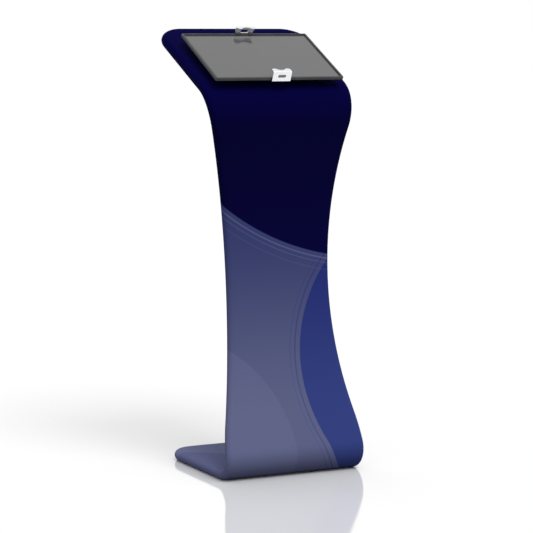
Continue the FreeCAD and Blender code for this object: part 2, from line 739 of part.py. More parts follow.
def spigot_rivets():
    """One domed rivet for each spigot."""
    rivets = []
    bore = TUBE_RADIUS - TUBE_WALL - SPIGOT_CLEARANCE - SPIGOT_WALL
    shank = RIVET_DIAMETER / 2
    head = RIVET_HEAD_DIAMETER / 2
    profile = [(0, bore - RIVET_TAIL), (shank, bore - RIVET_TAIL), (shank, TUBE_RADIUS),
               (head, TUBE_RADIUS), (head * 0.8, TUBE_RADIUS + RIVET_HEAD * 0.6),
               (head * 0.4, TUBE_RADIUS + RIVET_HEAD), (0, TUBE_RADIUS + RIVET_HEAD)]
    for side in side_names().values():
        for station in joint_stations().values():
            rivets.append(turned(profile, *rivet_axis(side, station)))
    return Part.makeCompound(rivets)


def foot_tube():
    return drilled(tube(foot_path()),
                   [rivet_hole(side, LOWER_JOINT_STATION) for side in side_names().values()])


def head_tube():
    return drilled(tube(head_path()),
                   [button_hole(side, UPPER_JOINT_STATION, BUTTON_DIAMETER / 2)
                    for side in side_names().values()])


def upright(side):
    edges = side_edges(side, path_stations(LOWER_JOINT_STATION, UPPER_JOINT_STATION))
    return drilled(tube(edges), [button_hole(side, LOWER_JOINT_STATION, BUTTON_DIAMETER / 2),
                                 rivet_hole(side, UPPER_JOINT_STATION)])


def lugs(plate_width, spread, offset, thickness, half_width, screw, frame, loop):
    """Four tabs welded inside the loop, each scooped to the tube and drilled for a screw."""
    tabs = []
    for x_side in (-1, 1):
        for y_side in (-1, 1):
            y = offset + y_side * spread / 2
            inner = plate_width / 2 - LUG_LAP
            low, high = sorted((x_side * inner, x_side * half_width))
            tab = block(low, high, y - LUG_WIDTH / 2, y + LUG_WIDTH / 2, -thickness, 0)
            place = V(x_side * (inner + LUG_LAP / 2), y, 0)
            tab = tab.cut(cylinder(screw / 2, place - V(0, 0, 2 * thickness), place))
            scooped = placed(tab, frame).cut(loop)
            tabs.append(max(scooped.Solids, key=lambda solid: solid.Volume))
    return Part.makeCompound(tabs)


def screwed_plate(width, length, thickness, lug, spread, offset, screw, frame):
    """Plate with rounded corners and a countersunk hole over each lug; also its four screws."""
    plate = rounded_plate(width, length, PLATE_CORNER_RADIUS, 0, thickness, V(0, offset, 0))
    screws = []
    for x in (-(width - LUG_LAP) / 2, (width - LUG_LAP) / 2):
        for y in (offset - spread / 2, offset + spread / 2):
            top = V(x, y, thickness)
            plate = plate.cut(countersunk_hole(screw, 2 * thickness, top, 0))
            screws.append(placed(countersunk_screw(screw, thickness + lug, top), frame))
    return placed(plate, frame), Part.makeCompound(screws)


BASE_FRAME = FreeCAD.Placement(V(0, 0, FOOT_LEVEL), FreeCAD.Rotation(ACROSS, 0))


def head_plate():
    """Carrier plate with a clearance hole for each of the holder's screws; also its own screws."""
    plate, screws = screwed_plate(HEAD_PLATE_WIDTH, HEAD_PLATE_LENGTH, HEAD_PLATE_THICKNESS,
                                  HEAD_LUG_THICKNESS, HEAD_LUG_SPREAD, 0, HEAD_SCREW_DIAMETER,
                                  HOLDER_FRAME)
    holes = []
    for place in holder_screw_places():
        hole = cylinder(HOLDER_SCREW_DIAMETER / 2, place, place + V(0, 0, HEAD_PLATE_THICKNESS))
        holes.append(placed(hole, HOLDER_FRAME))
    return plate.cut(Part.makeCompound(holes)), screws


def holder_bushes():
    """Spacers that carry the holder on the carrier plate through the cover's eyelets."""
    bushes = []
    for place in holder_screw_places():
        low = place + V(0, 0, HEAD_PLATE_THICKNESS)
        high = place + V(0, 0, HOLDER_SEAT)
        bush = cylinder(BUSH_DIAMETER / 2, low, high)
        bushes.append(placed(bush.cut(cylinder(HOLDER_SCREW_DIAMETER / 2, low, high)),
                             HOLDER_FRAME))
    return Part.makeCompound(bushes)


def holder_screws():
    """Button-headed screws through flange, bush and carrier plate."""
    radius = HOLDER_SCREW_DIAMETER / 2
    head = HOLDER_SCREW_DIAMETER * 0.95
    rise = HOLDER_SCREW_DIAMETER * 0.55
    low = -HOLDER_SCREW_DIAMETER * 1.2
    top = HOLDER_FLOOR + rise
    profile = [(0, low), (radius, low), (radius, HOLDER_FLOOR), (head, HOLDER_FLOOR),
               (head, top - rise * 0.75), (head * 0.6, top), (radius * 0.6, top),
               (radius * 0.6, top - rise * 0.6), (0, top - rise * 0.6)]
    return Part.makeCompound([placed(turned(profile, place, V(0, 0, 1)), HOLDER_FRAME)
                              for place in holder_screw_places()])


def holder_nuts():
    """Hexagon nuts under the carrier plate."""
    nuts = []
    height = HOLDER_SCREW_DIAMETER * 0.8
    for place in holder_screw_places():
        corners = []
        for index in range(7):
            angle = math.radians(60 * index)
            corners.append(place + V(math.cos(angle), math.sin(angle), 0)
                           * (HOLDER_SCREW_DIAMETER * 0.92) - V(0, 0, height))
        nut = Part.Face(Part.makePolygon(corners)).extrude(V(0, 0, height))
        nut = nut.cut(cylinder(HOLDER_SCREW_DIAMETER / 2, place - V(0, 0, height), place))
        nuts.append(placed(nut, HOLDER_FRAME))
    return Part.makeCompound(nuts)


def lid_screw_places():
    x = HOLDER_HALF - HOLDER_WALL - LID_SCREW_DIAMETER
    y = HOLDER_LENGTH / 2 - HOLDER_WALL - LID_SCREW_DIAMETER
    return [V(-x, y, 0), V(x, -y, 0)]


def holder_base():
    """Die-cast tray on a flange, open at opposite ends where the jaws' bars pass."""
    flange = rounded_plate(HOLDER_FLANGE_WIDTH, HOLDER_FLANGE_LENGTH, FLANGE_CORNER_RADIUS,
                           HOLDER_SEAT, HOLDER_FLOOR)
    tray = rounded_plate(2 * HOLDER_HALF, HOLDER_LENGTH, TRAY_CORNER_RADIUS,
                         HOLDER_SEAT, LID_LEVEL)
    bosses = []
    for place in lid_screw_places():
        bosses.append(cylinder(LID_SCREW_DIAMETER, place + V(0, 0, HOLDER_FLOOR),
                               place + V(0, 0, LID_LEVEL)))
    pocket = rounded_plate(2 * HOLDER_INNER_HALF, HOLDER_LENGTH - 2 * HOLDER_WALL,
                           TRAY_CORNER_RADIUS - HOLDER_WALL, HOLDER_FLOOR, LID_LEVEL)
    base = fuse([fuse([flange, tray]).cut(pocket)] + bosses)
    cuts = []
    for side in (-1, 1):
        low, high = sorted((side * (BAR_INNER - RUN_GAP), side * HOLDER_INNER_HALF))
        y_low, y_high = sorted((side * (HOLDER_LENGTH / 2 + CUT_MARGIN),
                                side * (HOLDER_LENGTH / 2 - HOLDER_WALL - CUT_MARGIN)))
        cuts.append(block(low, high, y_low, y_high, BAR_LEVEL - RUN_GAP, LID_LEVEL + CUT_MARGIN))
    for place in holder_screw_places():
        cuts.append(cylinder(HOLDER_SCREW_DIAMETER / 2, place + V(0, 0, HOLDER_SEAT - CUT_MARGIN),
                             place + V(0, 0, HOLDER_FLOOR + CUT_MARGIN)))
    for place in lid_screw_places():
        cuts.append(cylinder(LID_SCREW_DIAMETER / 2,
                             place + V(0, 0, LID_TOP - LID_SCREW_LENGTH),
                             place + V(0, 0, LID_LEVEL + CUT_MARGIN)))
    cuts.append(cylinder(PINION_PIN_DIAMETER / 2, V(0, 0, HOLDER_SEAT - CUT_MARGIN),
                         V(0, 0, HOLDER_FLOOR + CUT_MARGIN)))
    return placed(base.cut(Part.makeCompound(cuts)), HOLDER_FRAME)


SPRING_OUTER = HUB_DIAMETER / 2 + RUN_GAP + SPRING_TURNS * SPRING_PITCH + SPRING_STRIP


def holder_lid():
    """Flat lid with the post that anchors the spring's outer end."""
    lid = rounded_plate(2 * HOLDER_HALF, HOLDER_LENGTH, TRAY_CORNER_RADIUS, LID_LEVEL, LID_TOP)
    for place in lid_screw_places():
        lid = lid.cut(countersunk_hole(LID_SCREW_DIAMETER, 2 * LID_THICKNESS,
                                       place + V(0, 0, LID_TOP), 0))
    post = cylinder(SPRING_POST_DIAMETER / 2,
                    V(0, SPRING_OUTER + SPRING_POST_DIAMETER / 2, BAR_LEVEL + 2 * RUN_GAP),
                    V(0, SPRING_OUTER + SPRING_POST_DIAMETER / 2, LID_LEVEL + CUT_MARGIN))
    return placed(fuse([lid, post]), HOLDER_FRAME)


def lid_screws():
    return Part.makeCompound([
        placed(countersunk_screw(LID_SCREW_DIAMETER, LID_SCREW_LENGTH, place + V(0, 0, LID_TOP)),
               HOLDER_FRAME)
        for place in lid_screw_places()])


def pinion_pin():
    """Axle pressed into the tray's floor, under the lid."""
    pin = cylinder(PINION_PIN_DIAMETER / 2, V(0, 0, HOLDER_SEAT), V(0, 0, LID_LEVEL - RUN_GAP))
    return placed(pin, HOLDER_FRAME)


def involute(base_radius, radius):
    """Angle that an involute has unwound when it reaches this radius."""
    return math.sqrt((radius / base_radius) ** 2 - 1) - math.acos(base_radius / radius)


def pinion():
    """Spur gear with involute flanks and a raised hub inside the spring."""
    base = PITCH_RADIUS * math.cos(math.radians(PRESSURE_ANGLE))
    tip = PITCH_RADIUS + MODULE
    root = PITCH_RADIUS - DEDENDUM * MODULE
    half_tooth = (math.pi * MODULE / 2 - BACKLASH) / 2 / PITCH_RADIUS
    at_pitch = half_tooth + involute(base, PITCH_RADIUS)
    flank = []
    for step in range(4):
        radius = base + (tip - base) * step / 3
        flank.append((radius, at_pitch - involute(base, radius)))
    outline = []
    for tooth in range(PINION_TEETH):
        middle = 2 * math.pi * tooth / PINION_TEETH
        rising = [(root, -at_pitch)] + [(radius, -angle) for radius, angle in flank]
        falling = [(radius, angle) for radius, angle in reversed(flank)] + [(root, at_pitch)]
        for radius, angle in rising + falling:
            outline.append(V(radius * math.cos(middle + angle), radius * math.sin(middle + angle), 0))
    gear = Part.Face(Part.makePolygon(outline + outline[:1])).extrude(V(0, 0, RACK_HEIGHT - RUN_GAP))
    gear.translate(V(0, 0, RACK_LEVEL))
    hub = cylinder(HUB_DIAMETER / 2, V(0, 0, RACK_LEVEL), V(0, 0, LID_LEVEL - RUN_GAP))
    bore = cylinder(PINION_PIN_DIAMETER / 2 + PINION_PIN_FIT, V(0, 0, HOLDER_FLOOR),
                    V(0, 0, LID_LEVEL))
    return placed(fuse([gear, hub]).cut(bore), HOLDER_FRAME)


def half_ring(inner, outer, centre, low, high, upper):
    """Half of a flat ring, above or below the line through its centre."""
    sign = 1 if upper else -1
    edges = []
    for radius in (outer, inner):
        edges.append(Part.Arc(V(centre + radius, 0, low), V(centre, sign * radius, low),
                              V(centre - radius, 0, low)).toShape())
    for side in (-1, 1):
        edges.append(Part.makeLine(V(centre + side * inner, 0, low),
                                   V(centre + side * outer, 0, low)))
    return Part.Face(Part.Wire(Part.__sortEdges__(edges))).extrude(V(0, 0, high - low))


def clock_spring():
    """Flat spiral of half rings, each half a pitch wider than the last."""
    low = BAR_LEVEL + RUN_GAP
    high = LID_LEVEL - 2 * RUN_GAP
    rings = []
    for turn in range(2 * SPRING_TURNS):
        inner = HUB_DIAMETER / 2 + RUN_GAP + turn * SPRING_PITCH / 2 + SPRING_PITCH / 4
        shift = SPRING_PITCH / 4 * (1 if turn % 2 else -1)
        rings.append(half_ring(inner, inner + SPRING_STRIP, shift, low, high, turn % 2 == 0))
    return placed(fuse(rings), HOLDER_FRAME)


def left_of(heading):
    """Unit vector to the left of a heading in the side view."""
    return V(0, -heading.z, heading.y)


def sheet_edges(points, radius, offset):
    """Lines and arcs beside a bent centre line, at this distance to its left, and both ends."""
    edges = []
    corners = [Corner(*points[index:index + 3], radius) for index in range(len(points) - 2)]
    first = points[0] + left_of(corners[0].into) * offset
    last = first
    for corner in corners:
        start = corner.start + left_of(corner.into) * offset
        end = corner.end + left_of(corner.out) * offset
        outward = (corner.middle - corner.centre).normalize()
        turns_left = left_of(corner.into).dot(corner.centre - corner.start) > 0
        middle = corner.middle + outward * (-offset if turns_left else offset)
        edges.append(Part.makeLine(last, start))
        edges.append(Part.Arc(start, middle, end).toShape())
        last = end
    final = points[-1] + left_of(corners[-1].out) * offset
    edges.append(Part.makeLine(last, final))
    return edges, first, final


def bent_sheet(points, radius, thickness, low, high):
    """Plate of one thickness folded along these points of its side view, from x low to high."""
    upper, upper_start, upper_end = sheet_edges(points, radius, thickness / 2)
    lower, lower_start, lower_end = sheet_edges(points, radius, -thickness / 2)
    caps = [Part.makeLine(upper_start, lower_start), Part.makeLine(upper_end, lower_end)]
    face = Part.Face(Part.Wire(Part.__sortEdges__(upper + lower + caps)))
    return face.translated(V(low, 0, 0)).extrude(V(high - low, 0, 0))


def jaw():
    """Upper jaw: guide bar, step up under the tablet, upright plate with a slot, and curled lip."""
    half = JAW_THICKNESS / 2
    bar = BAR_LEVEL + half
    arm = TABLET_BOTTOM - PAD_CLEARANCE - half
    plate = JAW_INNER_FACE + half
    crest = TABLET_TOP + JAW_RISE - half
    step = HOLDER_LENGTH / 2 + JAW_STEP_GAP
    rise = arm - bar
    points = [V(0, -RACK_LENGTH / 2, bar), V(0, step, bar), V(0, step + rise, arm),
              V(0, plate, arm), V(0, plate, crest), V(0, plate - JAW_LIP + half, crest)]
    sheet = bent_sheet(points, JAW_BEND_RADIUS, JAW_THICKNESS, -JAW_WIDTH / 2, JAW_WIDTH / 2)
    wide_start = HOLDER_LENGTH / 2 + JAW_SHOULDER_GAP
    clear = 4 * JAW_RISE
    sides = [block(-JAW_WIDTH, BAR_INNER, -RACK_LENGTH, wide_start, 0, clear),
             block(BAR_OUTER, JAW_WIDTH + BAR_OUTER, -RACK_LENGTH, wide_start, 0, clear)]
    outer = plate + half
    slot_low = TABLET_BOTTOM + JAW_SLOT_LIFT
    slot = rounded_plate(JAW_SLOT_LENGTH, JAW_SLOT_HEIGHT, JAW_SLOT_RADIUS,
                         -outer - CUT_MARGIN, -JAW_INNER_FACE + CUT_MARGIN)
    slot.rotate(V(0, 0, 0), ACROSS, 90)
    slot.translate(V(0, 0, slot_low + JAW_SLOT_HEIGHT / 2))
    dip = cylinder(JAW_DIP_RADIUS, V(0, outer - JAW_DIP - JAW_DIP_RADIUS, crest - 2 * half),
                   V(0, outer - JAW_DIP - JAW_DIP_RADIUS, crest + 2 * half))
    horns = []
    for side in (-1, 1):
        centre = V(side * (JAW_WIDTH / 2 - JAW_HORN_RADIUS), outer - JAW_LIP + JAW_HORN_RADIUS,
                   crest - 2 * half)
        low, high = sorted((centre.x, centre.x + side * 2 * JAW_HORN_RADIUS))
        corner = block(low, high, centre.y - 2 * JAW_HORN_RADIUS, centre.y,
                       centre.z, centre.z + 4 * half)
        horns.append(corner.cut(cylinder(JAW_HORN_RADIUS, centre, centre + V(0, 0, 4 * half))))
    return sheet.cut(Part.makeCompound(sides + [slot, dip] + horns))


def rack():
    """Toothed bar fixed under the upper jaw's guide bar, its teeth towards the pinion."""
    pitch = math.pi * MODULE
    slope = math.tan(math.radians(PRESSURE_ANGLE))
    half_gap = pitch / 4 + BACKLASH / 4
    tip = PITCH_RADIUS - MODULE
    root = PITCH_RADIUS + DEDENDUM * MODULE
    end = RACK_LENGTH / 2
    count = int(end / pitch)
    outline = [V(tip, -end, 0)]
    for index in range(-count, count + 1):
        y = index * pitch
        wide = half_gap + MODULE * slope
        narrow = half_gap - DEDENDUM * MODULE * slope
        if abs(y) + wide < end:
            outline += [V(tip, y - wide, 0), V(root, y - narrow, 0),
                        V(root, y + narrow, 0), V(tip, y + wide, 0)]
    outline += [V(tip, end, 0), V(BAR_OUTER, end, 0), V(BAR_OUTER, -end, 0), V(tip, -end, 0)]
    bar = Part.Face(Part.makePolygon(outline)).extrude(V(0, 0, RACK_HEIGHT))
    return bar.translated(V(0, 0, RACK_LEVEL))


def rack_rivet_places():
    x = (PITCH_RADIUS + 2 * MODULE + BAR_OUTER) / 2
    return [V(x, -RACK_LENGTH / 3, 0), V(x, RACK_LENGTH / 3, 0)]


def rack_rivets():
    """Flush rivets that hold the rack to its jaw."""
    return Part.makeCompound([
        cylinder(RACK_RIVET_DIAMETER / 2, place + V(0, 0, RACK_LEVEL),
                 place + V(0, 0, BAR_LEVEL + JAW_THICKNESS))
        for place in rack_rivet_places()])


def jaw_pad():
    """Rubber liner between the jaw's plate and the tablet's edge."""
    height = TABLET_THICKNESS - JAW_THICKNESS / 2
    pad = rounded_plate(PAD_WIDTH, height, PAD_CORNER_RADIUS, 0, PAD_THICKNESS)
    pad.rotate(V(0, 0, 0), ACROSS, 90)
    pad.translate(V(0, JAW_INNER_FACE, TABLET_TOP - height / 2))
    return pad


def jaw_set(name, turn):
    """The pieces of one jaw: the lower jaw is the upper one turned half round."""
    rivets = rack_rivets()
    pieces = {name + "_jaw": jaw().cut(rivets), name + "_rack": rack().cut(rivets),
              name + "_rack_rivets": rivets, name + "_jaw_pad": jaw_pad()}
    for key, shape in pieces.items():
        shape.rotate(V(0, 0, 0), V(0, 0, 1), turn)
        pieces[key] = placed(shape, HOLDER_FRAME)
    return pieces


def rest_pads():
    """Four rubber buttons on the lid that the tablet lies on."""
    pads = []
    radius = REST_PAD_DIAMETER / 2
    height = TABLET_BOTTOM - LID_TOP
    profile = [(0, 0), (radius, 0), (radius, height - REST_PAD_CHAMFER),
               (radius - REST_PAD_CHAMFER, height), (0, height)]
    for x in (-REST_PAD_SPREAD_X / 2, REST_PAD_SPREAD_X / 2):
        for y in (-REST_PAD_SPREAD_Y / 2, REST_PAD_SPREAD_Y / 2):
            pads.append(placed(turned(profile, V(x, y, LID_TOP), V(0, 0, 1)), HOLDER_FRAME))
    return Part.makeCompound(pads)


KEY_LEVEL = TABLET_BOTTOM + TABLET_THICKNESS * 0.45
GLASS_TOP = TABLET_TOP - RIM_HEIGHT
GLASS_BOTTOM = GLASS_TOP - GLASS_THICKNESS
CAVITY_FLOOR = TABLET_BOTTOM + TABLET_FLOOR


def key_block(place, length, depth, proud, margin):
    """Rounded bar that fills a key's window, or with a negative margin the key itself."""
    width = length + 2 * margin
    height = KEY_HEIGHT + 2 * margin
    bar = rounded_plate(width, height, height * 0.48, -proud, depth)
    bar.rotate(V(0, 0, 0), ACROSS, 90)
    return bar.translated(V(place, TABLET_LENGTH / 2, KEY_LEVEL))


def tablet_back():
    """Tray with a raised rim round the glass, a ledge under it, key windows and a port."""
    shell = rounded_plate(TABLET_WIDTH, TABLET_LENGTH, TABLET_CORNER_RADIUS,
                          TABLET_BOTTOM, TABLET_TOP)
    underside = [edge for edge in shell.Edges if edge.BoundBox.ZMax < TABLET_BOTTOM + 1]
    shell = shell.makeFillet(TABLET_EDGE_RADIUS, underside)
    topside = [edge for edge in shell.Edges if edge.BoundBox.ZMin > TABLET_TOP - 1]
    shell = shell.makeFillet(RIM_EDGE_RADIUS, topside)
    rim = rounded_plate(TABLET_WIDTH - 2 * RIM_WIDTH, TABLET_LENGTH - 2 * RIM_WIDTH,
                        GLASS_CORNER_RADIUS, GLASS_BOTTOM, TABLET_TOP + CUT_MARGIN)
    inset = 2 * (RIM_WIDTH + LEDGE_WIDTH)
    cavity = rounded_plate(TABLET_WIDTH - inset, TABLET_LENGTH - inset, GLASS_CORNER_RADIUS,
                           CAVITY_FLOOR, GLASS_BOTTOM)
    port = rounded_plate(PORT_WIDTH, PORT_HEIGHT, PORT_HEIGHT * 0.48, -PORT_DEPTH, CUT_MARGIN)
    port.rotate(V(0, 0, 0), V(1, 1, 1), 120)
    port.translate(V(TABLET_WIDTH / 2, 0, KEY_LEVEL))
    well = KEY_DEPTH + KEY_TRAVEL + KEY_FIT
    keys = [key_block(POWER_KEY_PLACE, POWER_KEY_LENGTH, well, CUT_MARGIN, 0),
            key_block(VOLUME_KEY_PLACE, VOLUME_KEY_LENGTH, well, CUT_MARGIN, 0)]
    return placed(shell.cut(Part.makeCompound([rim, cavity, port] + keys)), HOLDER_FRAME)


def tablet_key(place, length):
    """Key that stands a little proud of the tablet's upper edge."""
    return placed(key_block(place, length, KEY_DEPTH, KEY_PROUD, -KEY_FIT), HOLDER_FRAME)


def tablet_glass():
    inset = 2 * (RIM_WIDTH + GLASS_FIT)
    glass = rounded_plate(TABLET_WIDTH - inset, TABLET_LENGTH - inset, GLASS_CORNER_RADIUS,
                          GLASS_BOTTOM, GLASS_TOP)
    return placed(glass, HOLDER_FRAME)


def tablet_display():
    inset = 2 * (RIM_WIDTH + LEDGE_WIDTH + DISPLAY_INSET)
    panel = rounded_plate(TABLET_WIDTH - inset, TABLET_LENGTH - inset, GLASS_CORNER_RADIUS,
                          GLASS_BOTTOM - DISPLAY_THICKNESS, GLASS_BOTTOM)
    return placed(panel, HOLDER_FRAME)


def tablet_battery():
    """Two flat cells side by side on the tray's floor."""
    cells = []
    for x in (-CELL_SPREAD / 2, CELL_SPREAD / 2):
        cell = rounded_plate(CELL_WIDTH, CELL_LENGTH, GLASS_CORNER_RADIUS, CAVITY_FLOOR,
                             CAVITY_FLOOR + BATTERY_THICKNESS, V(x, -CELL_SETBACK, 0))
        cells.append(placed(cell, HOLDER_FRAME))
    return Part.makeCompound(cells)


def tablet_board():
    """Circuit board along the tablet's upper edge, with its largest chips."""
    top = CAVITY_FLOOR + BOARD_THICKNESS
    board = rounded_plate(BOARD_WIDTH, BOARD_LENGTH, GLASS_CORNER_RADIUS, CAVITY_FLOOR, top,
                          V(0, BOARD_PLACE, 0))
    half = CHIP_SIZE / 2
    chips = [block(x - half, x + half, BOARD_PLACE - half, BOARD_PLACE + half,
                   top, CAVITY_FLOOR + BATTERY_THICKNESS) for x in CHIP_PLACES]
    return placed(fuse([board] + chips), HOLDER_FRAME)


def build():
    """Every piece of the stand, by name."""
    base_plate, base_screws = screwed_plate(
        BASE_PLATE_WIDTH, BASE_PLATE_LENGTH, BASE_PLATE_THICKNESS, BASE_LUG_THICKNESS,
        BASE_LUG_SPREAD, BASE_PLATE_OFFSET, BASE_SCREW_DIAMETER, BASE_FRAME)
    carrier, carrier_screws = head_plate()
    pieces = {
        "fabric_cover": fabric_cover(),
        "zip_tapes": zip_tapes(),
        "zip_teeth": zip_teeth(),
        "zip_slider": zip_slider(),
        "zip_pull": zip_pull(),
        "foot_tube": foot_tube(),
        "head_tube": head_tube(),
        "spigot_rivets": spigot_rivets(),
        "base_lugs": lugs(BASE_PLATE_WIDTH, BASE_LUG_SPREAD, BASE_PLATE_OFFSET,
                          BASE_LUG_THICKNESS, FOOT_HALF_WIDTH, BASE_SCREW_DIAMETER,
                          BASE_FRAME, pipe(foot_path(), TUBE_RADIUS)),
        "base_plate": base_plate,
        "base_screws": base_screws,
        "head_lugs": lugs(HEAD_PLATE_WIDTH, HEAD_LUG_SPREAD, 0, HEAD_LUG_THICKNESS,
                          HEAD_HALF_WIDTH, HEAD_SCREW_DIAMETER, HOLDER_FRAME,
                          pipe(head_path(), TUBE_RADIUS)),
        "head_plate": carrier,
        "head_screws": carrier_screws,
        "holder_bushes": holder_bushes(),
        "holder_screws": holder_screws(),
        "holder_nuts": holder_nuts(),
        "holder_base": holder_base(),
        "holder_lid": holder_lid(),
        "lid_screws": lid_screws(),
        "pinion_pin": pinion_pin(),
        "pinion": pinion(),
        "clock_spring": clock_spring(),
        "rest_pads": rest_pads(),
        "tablet_back": tablet_back(),
        "tablet_glass": tablet_glass(),
        "tablet_display": tablet_display(),
        "tablet_battery": tablet_battery(),
        "tablet_board": tablet_board(),
        "power_key": tablet_key(POWER_KEY_PLACE, POWER_KEY_LENGTH),
        "volume_key": tablet_key(VOLUME_KEY_PLACE, VOLUME_KEY_LENGTH),
    }
    pieces.update(jaw_set("upper", 0))
    pieces.update(jaw_set("lower", 180))
    spigots = []
    for side_name, side in side_names().items():
        pieces["upright_" + side_name] = upright(side)
        for level, station in joint_stations().items():
            spigots.append(spigot(side, station))
            pieces["_".join(("snap_button", level, side_name))] = snap_button(side, station)
    pieces["spigots"] = Part.makeCompound(spigots)
    return pieces


def main():
    os.makedirs("parts", exist_ok=True)
    for name, shape in build().items():
        shape.exportStep("parts/" + name + ".step")
        box = shape.BoundBox
        print(f"{name}: {len(shape.Solids)} solids, valid {shape.isValid()}, "
              f"{shape.Volume / 1000:.2f} cm3, {len(shape.Faces)} faces, "
              f"z {box.ZMin:.2f} to {box.ZMax:.2f}")


main()
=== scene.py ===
"""The looks of a floor-standing tablet stand: its stretched printed cover, its metals and plastics.

Metres. X is to the right of someone who faces the stand, Y points to its back, Z is up, and the
origin is on the floor at the middle of the foot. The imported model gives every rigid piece. This
script gives each piece its finish. It models the cloth cover, the teeth, cords and stitches of
its zip, and the broken edges of the two jaws.
"""

import json
import logging
import math
from collections.abc import Callable
from dataclasses import dataclass
from enum import Enum
from typing import Any

import bmesh
import bpy
import numpy as np
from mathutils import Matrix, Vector


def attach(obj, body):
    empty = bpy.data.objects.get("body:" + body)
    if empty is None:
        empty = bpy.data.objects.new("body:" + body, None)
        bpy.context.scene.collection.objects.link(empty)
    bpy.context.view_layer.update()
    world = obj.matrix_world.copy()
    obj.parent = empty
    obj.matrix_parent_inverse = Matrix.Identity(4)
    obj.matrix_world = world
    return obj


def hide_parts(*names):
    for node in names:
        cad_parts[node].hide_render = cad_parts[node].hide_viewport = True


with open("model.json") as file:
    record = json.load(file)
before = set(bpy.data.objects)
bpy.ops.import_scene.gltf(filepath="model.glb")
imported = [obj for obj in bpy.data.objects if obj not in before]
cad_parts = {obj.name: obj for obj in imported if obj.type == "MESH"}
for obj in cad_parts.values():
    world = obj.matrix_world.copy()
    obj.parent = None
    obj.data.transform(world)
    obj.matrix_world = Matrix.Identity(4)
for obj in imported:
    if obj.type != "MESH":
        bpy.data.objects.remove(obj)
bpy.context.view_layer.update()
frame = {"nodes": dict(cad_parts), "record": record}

LOG = logging.getLogger("stand")
MM = 0.001
ACROSS = Vector((1.0, 0.0, 0.0))
Piece = bpy.types.Object
Pair = tuple[float, float]
Triple = tuple[float, float, float]
Colour = Triple
WHITE: Colour = (1.0, 1.0, 1.0)
BLACK: Colour = (0.0, 0.0, 0.0)
BACK_SHIFT = 1.0
SMOOTH_ANGLE = math.radians(40)


def shade(red: int, green: int, blue: int, light: float = 1.0) -> Colour:
    """Scene-linear colour of a display colour, by the sRGB curve.

    Args:
        red: Display value from 0 to 255.
        green: Display value from 0 to 255.
        blue: Display value from 0 to 255.
        light: Share of the light that is kept.

    Returns:
        The linear red, green and blue.
    """
    def linear(value: int) -> float:
        """Linear value of one display value."""
        share = value / 255
        return light * (share / 12.92 if share <= 0.04045 else ((share + 0.055) / 1.055) ** 2.4)
    return linear(red), linear(green), linear(blue)


class Slot(Enum):
    """The record's material slots, each with its finish in FINISHES."""

    COVER = "cover_fabric"
    ZIP_TAPE = "zip_tape"
    ZIP_NYLON = "zip_nylon"
    ZIP_METAL = "zip_metal"
    TUBE = "tube_aluminium"
    PLATED = "plated_steel"
    SPRING = "spring_steel"
    PLATE = "plate_steel"
    HOLDER = "holder_black"
    JAW = "jaw_polished"
    GEAR = "gear_acetal"
    RUBBER = "pad_rubber"
    CASING = "tablet_casing"
    GLASS = "tablet_glass"
    DISPLAY = "display_panel"
    BATTERY = "battery_foil"
    BOARD = "circuit_board"


def maths_node(operation: str) -> Callable[["Signal", "Signal | float"], "Signal"]:
    """The operator that adds this Math node."""
    def join(first: "Signal", second: "Signal | float") -> "Signal":
        """The node's result."""
        return first.net.maths(operation, first, second)
    return join


class Signal:
    """A shader socket that Python sums read: each operator adds its Math node."""

    def __init__(self, net: "ShaderNet", socket: bpy.types.NodeSocket) -> None:
        """Wraps an output socket of this net."""
        self.net = net
        self.socket = socket

    __add__ = maths_node("ADD")
    __sub__ = maths_node("SUBTRACT")
    __mul__ = maths_node("MULTIPLY")
    __truediv__ = maths_node("DIVIDE")


